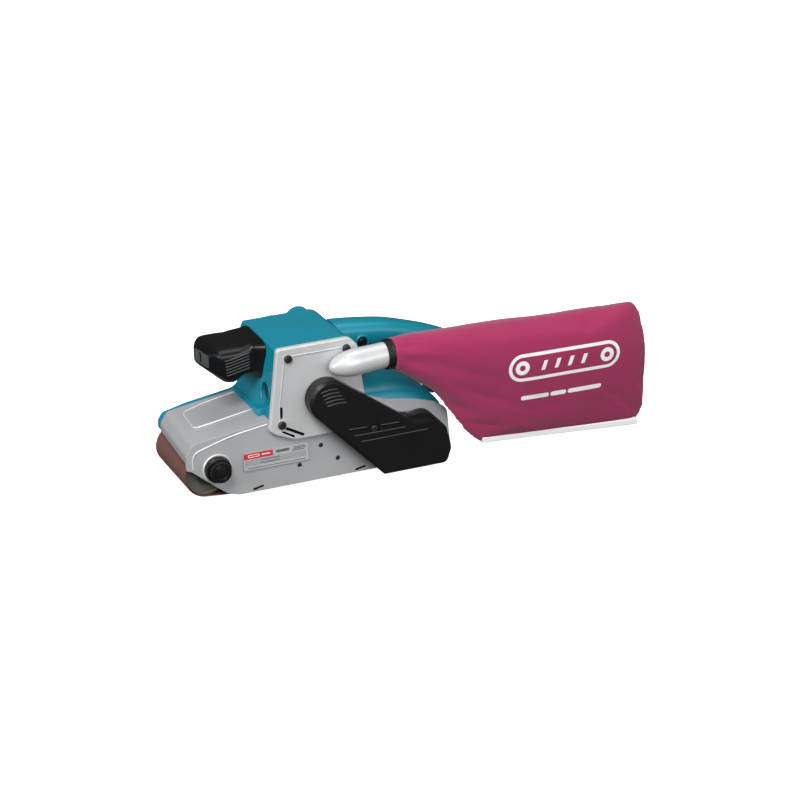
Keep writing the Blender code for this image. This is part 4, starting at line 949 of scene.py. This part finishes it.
# The grip's near and far sides from above, then its top and its underside from the side.
GRIP_LINES = (
    [
        (GRIP_REAR, 40.0, 0), (-43, 35.5, 8), (-50, 28.4, 8), (-88.6, 27.6, 3.2), (-93.2, 17.4, 2),
        (GRIP_FRONT, 16.0, 0),
    ],
    [(GRIP_REAR, 29.0, 0), (-55, 33.5, 30), (-86, 33.5, 6), (-92.5, 24.5, 4), (GRIP_FRONT, 21.5, 0)],
    [
        (GRIP_REAR, 157.6, 0), (-46, 155.8, 12), (-63.5, 150.8, 14), (-84, 150.4, 20), (-91.5, 148.8, 8),
        (GRIP_FRONT, 146.5, 0),
    ],
    [
        (GRIP_REAR, 110.6, 0), (-44, 114.4, 8), (-49.5, 122.4, 8), (-61, 120.8, 10), (-71, 113.6, 10),
        (-82, 115.6, 12), (GRIP_FRONT, 128.6, 0),
    ],
)


def grip_ribs():
    ribs = []
    for index in range(6):
        z = 146.6 - 3.3 * index
        for side, wide in ((-1, 28), (1, 33.6)):
            points = [(-81.6 + 0.3 * index, z - 5), (-74, z - 4), (-64, z - 1.9), (-54.5, z)]
            line = [(x, side * (wide + 0.1), height) for x, height in smooth_line(points, 6)]
            ribs.append(tube("grip_rib", line, 0.75))
    # The ribs are lighter grey than the grip: painted highlights.
    piece(weld_in(*ribs), RIB_HIGHLIGHT)


def grip_nose():
    """The flat grey patch on the grip's front, with its upright slot."""
    slot = capsule((4.5, 134.6), (4.5, 142.4), 2.1)
    patch_outline = rounded([(-13.5, 131, 3), (18.5, 131, 3), (18.5, 145.4, 3), (-13.5, 145.4, 3)])
    patch = slab("nose_patch", [patch_outline], -94.9, -94.0, "X")
    bevel(patch, 0.4, 2)
    cut(patch, slab("nose_slot", [slot], -96, -94.5, "X"))
    # A near-black sheet just below the patch paints the shade inside the slot.
    shade = slab("nose_slot_shade", [slot], -94.6, -94.2, "X")
    for made, material in ((patch, GRIP_GREY), (shade, SLOT_PAINTED_SHADE)):
        for vert in made.data.vertices:
            vert.co.x -= GRIP_SLANT * (vert.co.y - GRIP_MIDDLE * MM)
        piece(made, material)


def grip_shell():
    near, far, top, low = (rounded(corners, closed=False) for corners in GRIP_LINES)
    places = [GRIP_REAR - 1.9 * step for step in range(25)] + [-85.8, -87.0, -88.0, -88.8, -89.6, -90.6]
    places += [-91.6, -92.6, -93.4, -94.0, GRIP_FRONT]
    rows = []
    for x in places:
        high, deep = at_place(top, x), at_place(low, x)
        middle, half = (high + deep) / 2, (high - deep) / 2
        flare = clamp((x + 52) / 13)
        slope = GRIP_SLANT * clamp((-72 - x) / 18)
        tilt = along(GRIP_TILT, x)
        row = []
        for c, s in turns(56, 0.5):
            side = bulged(c, GRIP_POWER)
            rise = bulged(s, GRIP_POWER)
            wide = at_place(near, x) - 9.0 * flare * (1 - rise) / 2 if c < 0 else at_place(far, x)
            crown = 1.6 * (1 - side * side) + tilt * (side * wide + 28) / 62 if s > 0 else 0.0
            height = middle + half * rise + crown * max(0.0, rise)
            row.append((x - slope * (side * wide - GRIP_MIDDLE), side * wide, height))
        rows.append(row)
    grip = loft("grip_shell", rows)
    bevel(grip, 1.0, 3, lambda p: p.x + GRIP_SLANT * (p.y - GRIP_MIDDLE) < GRIP_FRONT + 0.1)
    grip_ribs()
    piece(grip, GRIP, ["front_grip", "grip_screw"], sharp=50)
    grip_nose()


# --- small fittings


def socket_screw(name, at, seat, radius, height, replaces=(), away=-1):
    """A pan-head screw with a six-lobed socket, standing on a seat across the tool."""
    top = seat + away * height
    profile = [(0, seat), (radius, seat), (radius, seat + away * height * 0.55)]
    profile += [(radius * 0.93, seat + away * height * 0.85), (radius * 0.8, top), (0, top)]
    head = revolve(name, profile, at, 40)
    star = []
    for step in range(36):
        angle = 2 * math.pi * step / 36
        reach = radius * (0.46 + 0.09 * math.cos(6 * angle))
        star.append(polar(at, reach, angle))
    low, high = sorted((top + away * 1.0, top - away * height * 0.6))
    cut(head, slab(name + "_socket", [star], low, high))
    low, high = sorted((seat - away * 8, seat + away * height * 0.2))
    weld_in(head, rod(name + "_shank", radius * 0.5, low, high, at, 20))
    piece(head, SOOTY, replaces)


def screws():
    for index, at in enumerate(PLATE_SCREWS, 1):
        socket_screw(f"plate_screw_head_{index}", at, -65.9, 4.5, 2.9, [f"plate_screw_{index}"])
    for index, at in enumerate(WALL_SCREWS, 1):
        socket_screw(f"wall_screw_head_{index}", at, -59.0, 2.3, 1.2, [f"wall_screw_{index}"])
    socket_screw("cover_screw_head", COVER_SCREW, -81.7, 4.2, 2.4, ["cover_screw"])


def knob():
    profile = [(3.3, -62), (13.6, -62), (14.2, -62.6), (14.2, -64.2), (13.5, -64.7), (14, -65.2)]
    profile += [(14, -66.6), (13.2, -67.3), (12.4, -67.6), (11.6, -66.6), (3.3, -66.6)]
    skirt = revolve("knob_skirt", profile, KNOB, 96, closed=True)
    teeth = []
    for tooth in range(36):
        for share, radius in ((0, 11.6), (0.3, 11.6), (0.5, 11.1), (0.8, 11.1)):
            angle = 2 * math.pi * (tooth + share) / 36
            teeth.append(polar(KNOB, radius, angle))
    cap = slab("knob_cap", [teeth, circle(KNOB, 3.3, 24)], KNOB_NEAR, -66)
    bevel(cap, 0.7, 2, lambda p: abs(p.y - KNOB_NEAR) < 0.1 and math.dist((p.x, p.z), KNOB) > 5)
    cut(cap, rod("knob_dish", 8.9, -80, -73.4, KNOB, 48))
    profile = [(7.2, -73), (8.2, -73), (8.2, -74), (7.7, KNOB_NEAR), (7.2, -74)]
    rim = revolve("knob_face_ring", profile, KNOB, 64, closed=True)
    plug = rod("knob_plug", 6.4, -74.1, -71.0, KNOB, 48, 0.8)
    weld_in(skirt, cap, plug, rim)
    piece(skirt, BLACK, ["tracking_knob"], "tracking_knob")


def oblong(x0, x1, z0, z1):
    return [(x0, z0), (x1, z0), (x1, z1), (x0, z1)]


def nameplate():
    """The data plate, with a mark and lines that stand for its print."""
    outline = rounded([(-78.5, 28.3, 1), (-5.5, 28.3, 1), (-5.5, 48, 1), (-78.5, 48, 1)], 3)
    piece(slab("plate_foil_face", [outline], -61.7, -61.2), FOIL, ["nameplate"])
    outline = rounded([(-78.2, 41, 0.8), (-45.5, 41, 0.4), (-45.5, 47.7, 0.4), (-78.2, 47.7, 0.8)], 3)
    piece(slab("label_block", [outline], LABEL_NEAR, -61.6), LABEL_RED)
    ring = [capsule((-72, 44.4), (-62, 44.4), radius) for radius in (1.5, 0.9)]
    mark = slab("label_mark", ring, -61.95, -61.8)
    weld_in(mark, slab("label_mark_bar", [oblong(-58, -48.5, 43.9, 44.9)], -61.95, -61.8))
    piece(mark, PRINT)
    shapes = []
    for x0, x1, z, half in (
        (-42, -27, 44.6, 1.5),
        (-22, -9, 45.8, 0.45),
        (-22, -8, 44.0, 0.45),
        (-24, -10, 42.2, 0.45),
        (-74, -9, 30.6, 0.35),
    ):
        shapes.append([oblong(x0, x1, z - half, z + half)])
    for low, high in ((34, 36.2), (37.4, 39.6)):
        outer = oblong(-76.5, -9, low, high)
        shapes += [[outer, offset(outer, 0.35)], [oblong(-60, -38, low + 0.8, high - 0.8)]]
    bars = [slab("label_bar", loops, LABEL_NEAR, -61.65) for loops in shapes]
    piece(weld_in(*bars), LABEL_GREY)


# --- belt, rollers


def loop_outline(front, rear, platen):
    points = circle(FRONT_AXLE, front, 120) + circle(REAR_AXLE, rear, 120)
    return hull(points + [(-84, platen), (84, platen)])


def abrasive_belt():
    outer = loop_outline(24, 25.3, 0)
    inner = loop_outline(23.1, 24.4, 0.9)
    belt = slab("abrasive_belt", [outer, inner], -50, 50)
    bevel(belt, 0.25, 1)
    piece(belt, GRIT, ["sanding_belt"], "sanding_belt")


def rollers():
    front = [(5.3, 47.4), (12.5, 47.4), (13.3, 47.9), (19.6, 47.9), (20.4, 48.6), (22, 48.6), (22.5, 48.1)]
    profile = front + [(r, -y) for r, y in front[::-1]]
    roller = revolve("front_roller_skin", profile, FRONT_AXLE, 96, closed=True)
    replaced = ["front_roller", "idler_bearing_left", "idler_bearing_right"]
    piece(roller, ROLLER_END, replaced, "front_roller")
    profile = [(20.3, 47.5), (23.6, 47.5), (24, 47.1), (24, -47.1), (23.6, -47.5), (20.3, -47.5)]
    sleeve = revolve("drive_sleeve_skin", profile, REAR_AXLE, 96, closed=True)
    piece(sleeve, RUBBER, ["drive_roller_sleeve"], "drive_roller")


SPRING_TURNS = 4
SPRING_STEPS = 24 * SPRING_TURNS


def spring():
    """The coil behind the front roller's slide."""
    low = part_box("tension_spring")[0].x / MM + 1.0
    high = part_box("tension_spring")[1].x / MM - 1.0
    points = []
    for index in range(SPRING_STEPS + 1):
        angle = 2 * math.pi * SPRING_TURNS * index / SPRING_STEPS
        x = low + (high - low) * index / SPRING_STEPS
        points.append((x, *polar((0, AXLE_HEIGHT), 8.5, angle)))
    coil = tube("spring_coil", points, 0.9, 8)
    piece(coil, STEEL, ["tension_spring"])
    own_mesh(coil)


# --- bag

# The bag's upper and lower edges, its pull forwards at the rear, its half thickness and its middle.
BAG_TOP = [(85.5, 154.2), (90, 154.2), (95, 155), (102, 157), (120, 158.6), (152, 158.4)]
BAG_TOP += [(201, 157.2), (272, 154.8), (345, 153.6), (390, 153)]
BAG_LOW = [
    (85.5, 119.8), (89, 119.2), (94, 116.4), (104, 107.6), (114, 98.8), (126, 89.4), (139, 77.6),
    (152, 59.6), (168, 36.6), (180, 22.6), (188, 18.4), (200, 17.6), (280, 13), (391, 6.2),
]
BAG_REAR = [(6, 14), (12, 12), (26, 2), (62, 0), (97, 0), (122, 3), (143, 7.5), (153, 14)]
BAG_THICK = [(85.5, 17.2), (90, 17.2), (95, 17.3), (104, 17.5), (125, 20), (160, 22), (220, 23)]
BAG_THICK += [(300, 22), (360, 18), (384, 9.5), (391, 3)]
BAG_MIDDLE_Y = [(86, -76), (110, -77.5), (150, -79.5), (391, -80)]
CLOTH_FRAMES = 20
MOST_BULGE = 0.004
PRINT_GRID = 3


def bag_section(x, count):
    """One section across the bag: full at the top, and flat where the strip closes its lower edge."""
    top = along(BAG_TOP, x)
    low = along(BAG_LOW, x)
    half = along(BAG_THICK, x)
    middle_y = along(BAG_MIDDLE_Y, x)
    neck = clamp((125 - x) / 35)
    row = []
    for c, s in turns(count, 0.5):
        height = (top + low) / 2 + (top - low) / 2 * bulged(s, 2 / 2.6)
        share = (height - low) / (top - low)
        flat = min(1, 0.17 + 1.1 * max(0.0, share) ** 0.75)
        width = half * (neck + (1 - neck) * flat)
        side = bulged(c, 2 / (2.0 + 0.9 * (1 - neck)))
        row.append((x, middle_y + width * side, height))
    return row


def bag_pieces():
    stations = [85.5, 87.5, 89.5, 92, 95, 100, 106, 112, 119, 127, 136, 145, 154, 163, 172, 181, 190]
    stations += [190 + 9 * step for step in range(1, 21)] + [376, 381, 385, 388, 390.5]
    rows = []
    for x in stations:
        row = []
        for place, side, height in bag_section(x, 56):
            pull = along(BAG_REAR, height) * max(0.0, (place - 325) / 66) ** 2
            row.append((place - pull, side, height))
        rows.append(row)
    bag = loft("bag_shell", rows)
    remesh = bag.modifiers.new("remesh", "REMESH")
    remesh.mode = "VOXEL"
    remesh.voxel_size = 0.0042
    bake(bag)
    rest = [vert.co.copy() for vert in bag.data.vertices]
    inflate(bag, rest)
    wrinkle(bag)
    smooth = bag.modifiers.new("smooth", "SUBSURF")
    smooth.levels = 1
    smooth.render_levels = 1
    bake(bag)
    piece(bag, CLOTH, ["dust_bag"], "dust_bag", sharp=180)
    return bag


def inflate(bag, rest):
    """A short cloth simulation under slight air pressure, held at the neck and along the strip."""
    held = bag.vertex_groups.new(name="held")
    for index, point in enumerate(rest):
        x, _, z = point / MM
        low = along(BAG_LOW, x)
        if x < 90 or (x > 184 and z < low + 8):
            held.add([index], 1.0, "REPLACE")
    cloth = bag.modifiers.new("cloth", "CLOTH")
    settings = cloth.settings
    settings.quality = 6
    settings.mass = 0.2
    settings.tension_stiffness = 12
    settings.compression_stiffness = 6
    settings.bending_stiffness = 0.3
    settings.use_pressure = True
    settings.uniform_pressure_force = 4
    settings.vertex_group_mass = "held"
    settings.effector_weights.gravity = 0
    cloth.collision_settings.use_collision = False
    cloth.point_cache.frame_start = 1
    cloth.point_cache.frame_end = CLOTH_FRAMES
    scene = bpy.context.scene
    for number in range(1, CLOTH_FRAMES + 1):
        scene.frame_set(number)
    bake(bag)
    scene.frame_set(1)
    for vert, home in zip(bag.data.vertices, rest):
        moved = vert.co - home
        if moved.length > MOST_BULGE:
            vert.co = home + moved.normalized() * MOST_BULGE


def wrinkle(bag):
    """Soft folds that run back from the neck, and a slight unevenness everywhere."""
    bag.data.update()
    normals = [vert.normal.copy() for vert in bag.data.vertices]
    for vert, normal in zip(bag.data.vertices, normals):
        x, y, z = vert.co / MM
        near_neck = max(0, 1 - (x - 92) / 95) if x > 92 else 0.0
        slope = math.atan2(z - 140, x - 60)
        fold = math.sin(slope * 15 + 1.3) * 1.5 * near_neck * min(1.0, (x - 92) / 18 if x > 92 else 0)
        lump = noise.noise(Vector((x * 0.016, y * 0.02, z * 0.018))) * 1.4
        crease = math.sin((x * 0.32 + z) * 0.055 + 2.0) * 0.7
        low_edge = clamp((z - along(BAG_LOW, x) - 4) / 20)
        held = low_edge * min(1.0, max(0.0, (x - 90) / 12)) * min(1.0, max(0.0, (391 - x) / 14))
        vert.co += normal * (fold + (lump + crease) * held) * MM


def on_bag(tree, x, z, lift):
    """The point on the bag's near side at a height and place along it, or nothing past its edge."""
    hit = tree.ray_cast(Vector((x * MM, -0.2, z * MM)), Vector((0, 1, 0)))[0]
    return Vector((x, hit.y / MM - lift, z)) if hit else None


def printed(name, loops, tree):
    """A flat printed shape, laid on the bag's near side."""
    flat = slab(name, loops, -100, -99.9)
    shape = bmesh.new()
    shape.from_mesh(flat.data)
    drop(flat)
    far = [face for face in shape.faces if face.normal.y > -0.9]
    bmesh.ops.delete(shape, geom=far, context="FACES")
    xs = [vert.co.x / MM for vert in shape.verts]
    zs = [vert.co.z / MM for vert in shape.verts]
    for low, high, normal in ((min(xs), max(xs), (1, 0, 0)), (min(zs), max(zs), (0, 0, 1))):
        place = low + PRINT_GRID
        while place < high:
            slice_at(shape, Vector(normal) * place * MM, normal)
            place += PRINT_GRID
    for vert in shape.verts:
        vert.co = on_bag(tree, vert.co.x / MM, vert.co.z / MM, 0.25) * MM
    return to_object(name, shape)


def rear_hem(tree):
    """The sewn band down the bag's rear edge."""
    rear_rows = []
    for step in range(49):
        z = 151 - 127 * step / 48
        pair = [on_bag(tree, x, z, 0.5) for x in (380.5, 386)]
        if None not in pair:
            rear_rows.append([tuple(point) for point in pair])
    hem = loft("bag_rear_hem", rear_rows, caps=False, ring=False)
    solid = hem.modifiers.new("thick", "SOLIDIFY")
    solid.thickness = 0.0008
    bake(hem)
    piece(hem, SEAM, body="dust_bag", sharp=60)


def stitches(tree):
    """The seam's stitches above the closing strip."""
    made = []
    for index in range(60):
        x = 192 + index * 3.1
        height = along(BAG_LOW, x) + 9.0
        ends = [on_bag(tree, place, height, 0.15) for place in (x, x + 1.9)]
        if None not in ends:
            made.append(tube("stitch", [tuple(end) for end in ends], 0.3, 8))
    piece(weld_in(*made), SEAM, body="dust_bag", sharp=60)


def bag_details(bag):
    bpy.context.view_layer.update()
    tree = BVHTree.FromObject(bag, bpy.context.evaluated_depsgraph_get())

    def tilted(loop):
        """The print's line follows the bag's top edge, a little down towards the rear."""
        return [(x, z - (x - 280) * 0.02) for x, z in loop]

    front, rear, height = 227, 329, 104
    shapes = [[tilted(capsule((front, height), (rear, height), radius, 40)) for radius in (16, 12.2)]]
    for x in (front, rear):
        shapes.append([tilted(circle((x, height), 8.2, 32)), tilted(circle((x, height), 3.4, 24))])
    for x in (249, 265, 281, 297):
        shapes.append([tilted([(x, 98.5), (x + 4.6, 98.5), (x + 8, 109.5), (x + 3.4, 109.5)])])
    for x0, x1 in ((230, 258), (265, 279), (286, 322)):
        shapes.append([tilted(capsule((x0, 67), (x1, 67), 2.6, 16))])
    marks = [printed(f"bag_print_{index}", loops, tree) for index, loops in enumerate(shapes)]
    piece(weld_in(*marks), PRINT, body="dust_bag", sharp=180)
    rear_hem(tree)
    stitches(tree)


def bag_neck():
    profile = [(13.9, 88.5), (15.2, 88.5), (16.2, 87.6), (16.4, 86.4), (15.9, 85.4), (15.6, 84.6)]
    profile += [(16.5, 83.8), (16.5, 82.4), (15.7, 81.7), (15.6, 81.2), (16.3, 80.8), (16.1, 80.2)]
    profile += [(15.6, 79.9), (13.9, 79.9)]
    collar = revolve("bag_collar_skin", profile, NECK, closed=True, axis="X")
    piece(collar, RUBBER, ["bag_collar"], "bag_collar")


def strip():
    half = [(4.4, 0, 1), (4.4, 6.6, 1.6), (1.6, 8.3, 1.2)]
    section = rounded([(-y, z, radius) for y, z, radius in half] + half[::-1], 4)
    rows = []
    for x, low in ((188.2, 18), (190, 17.9), (376, 4.8), (377.8, 4.7)):
        shrink = 0.9 if x in (188.2, 377.8) else 1.0
        rows.append([(x, -79.0 + y * shrink, low + z * shrink) for y, z in section])
    made = loft("strip_skin", rows)
    piece(made, STRIP, ["bag_strip"], "bag_strip", sharp=30)


# --- carried-over pieces

CARRIED = {
    "teal_plastic": TEAL,
    "cast_silver": SILVER,
    "black_plastic": BLACK,
    "black_rubber": RUBBER,
    "roller_aluminium": ALUMINIUM,
    "bare_steel": STEEL,
    "dark_steel": SOOTY,
    "copper": COPPER,
    "carbon": CARBON,
    "abrasive_cloth": GRIT,
    "bag_cloth": CLOTH,
    "white_plastic": STRIP,
    "plate_foil": FOIL,
}


def dress_frame():
    """Gives every CAD piece the material of its slot."""
    slots = {entry["node"]: entry["material_slot"] for entry in frame["record"]["subparts"]}
    for name, obj in frame["nodes"].items():
        obj.data.materials.clear()
        obj.data.materials.append(CARRIED[slots[name]])


# --- the whole thing

frame_casting()
guard_skin()
housing_shell()
end_cap_shell()
plate_casting()
drive_cover()
rear_casing()
handle_halves()
trigger_piece()
lock_button_piece()
grip_shell()
screws()
knob()
nameplate()
abrasive_belt()
rollers()
spring()
bag_neck()
bag_object = bag_pieces()
bag_details(bag_object)
strip()
dress_frame()

# --- camera, light, floor

AIM = Vector((0.060, -0.030, 0.075))
DISTANCE = 2.6
AZIMUTH = math.radians(-21.352)
ELEVATION = math.radians(21.348)
ROLL = math.radians(-2.328)
FLOOR_Z = -0.0006
LENS = 108.585
LENS_SHIFT = (0.0589475, -0.0020225)

# Each light's place, size and power.
LIGHTS = {
    "key_light": ((-0.9, -1.3, 1.9), 1.0, 40),
    "top_light": ((0.4, 0.3, 2.2), 1.6, 16),
    "side_light": ((0.2, -2.4, 0.9), 1.4, 26),
    "front_light": ((-2.2, -0.5, 0.9), 1.0, 30),
    "fill_light": ((1.6, -1.6, 0.8), 1.6, 12),
}

back = Vector(
    (
        math.sin(AZIMUTH) * math.cos(ELEVATION),
        -math.cos(AZIMUTH) * math.cos(ELEVATION),
        math.sin(ELEVATION),
    )
)
level = Vector((math.cos(AZIMUTH), math.sin(AZIMUTH), 0))
above = back.cross(level)
right = level * math.cos(ROLL) + above * math.sin(ROLL)
upward = above * math.cos(ROLL) - level * math.sin(ROLL)
camera_data = bpy.data.cameras.new("camera")
camera_data.sensor_width = 36
camera_data.lens = LENS
camera_data.shift_x, camera_data.shift_y = LENS_SHIFT
camera_data.clip_end = 50
camera = add_object("camera", camera_data)
turn = Matrix((right, upward, back)).transposed().to_4x4()
camera.matrix_world = Matrix.Translation(AIM + back * DISTANCE) @ turn
bpy.context.scene.camera = camera


for name, (place, size, power) in LIGHTS.items():
    light_data = bpy.data.lights.new(name, "AREA")
    light_data.shape = "DISK"
    light_data.size = size
    light_data.energy = power
    light = add_object(name, light_data)
    light.location = place
    light.rotation_euler = (Vector(place) - AIM).to_track_quat("Z", "Y").to_euler()

world = bpy.data.worlds.new("studio")
world.use_nodes = True
set_inputs(world.node_tree.nodes["Background"], Color=(1, 1, 1, 1), Strength=0.09)
bpy.context.scene.world = world
bpy.context.scene.view_settings.view_transform = "Standard"

floor_shape = bmesh.new()
bmesh.ops.create_grid(floor_shape, x_segments=1, y_segments=1, size=8)
for vert in floor_shape.verts:
    vert.co.z = FLOOR_Z
floor = to_object("floor", floor_shape)
floor_material = surface("floor_white", (250, 250, 250), 0.9, shift=0.0, grain=0.0, specular=0.0)
floor_shader = floor_material.node_tree.nodes["Principled BSDF"]
set_inputs(floor_shader, Emission_Color=(1, 1, 1, 1), Emission_Strength=1.0)
floor.data.materials.append(floor_material)
floor.visible_diffuse = False
floor.visible_glossy = False
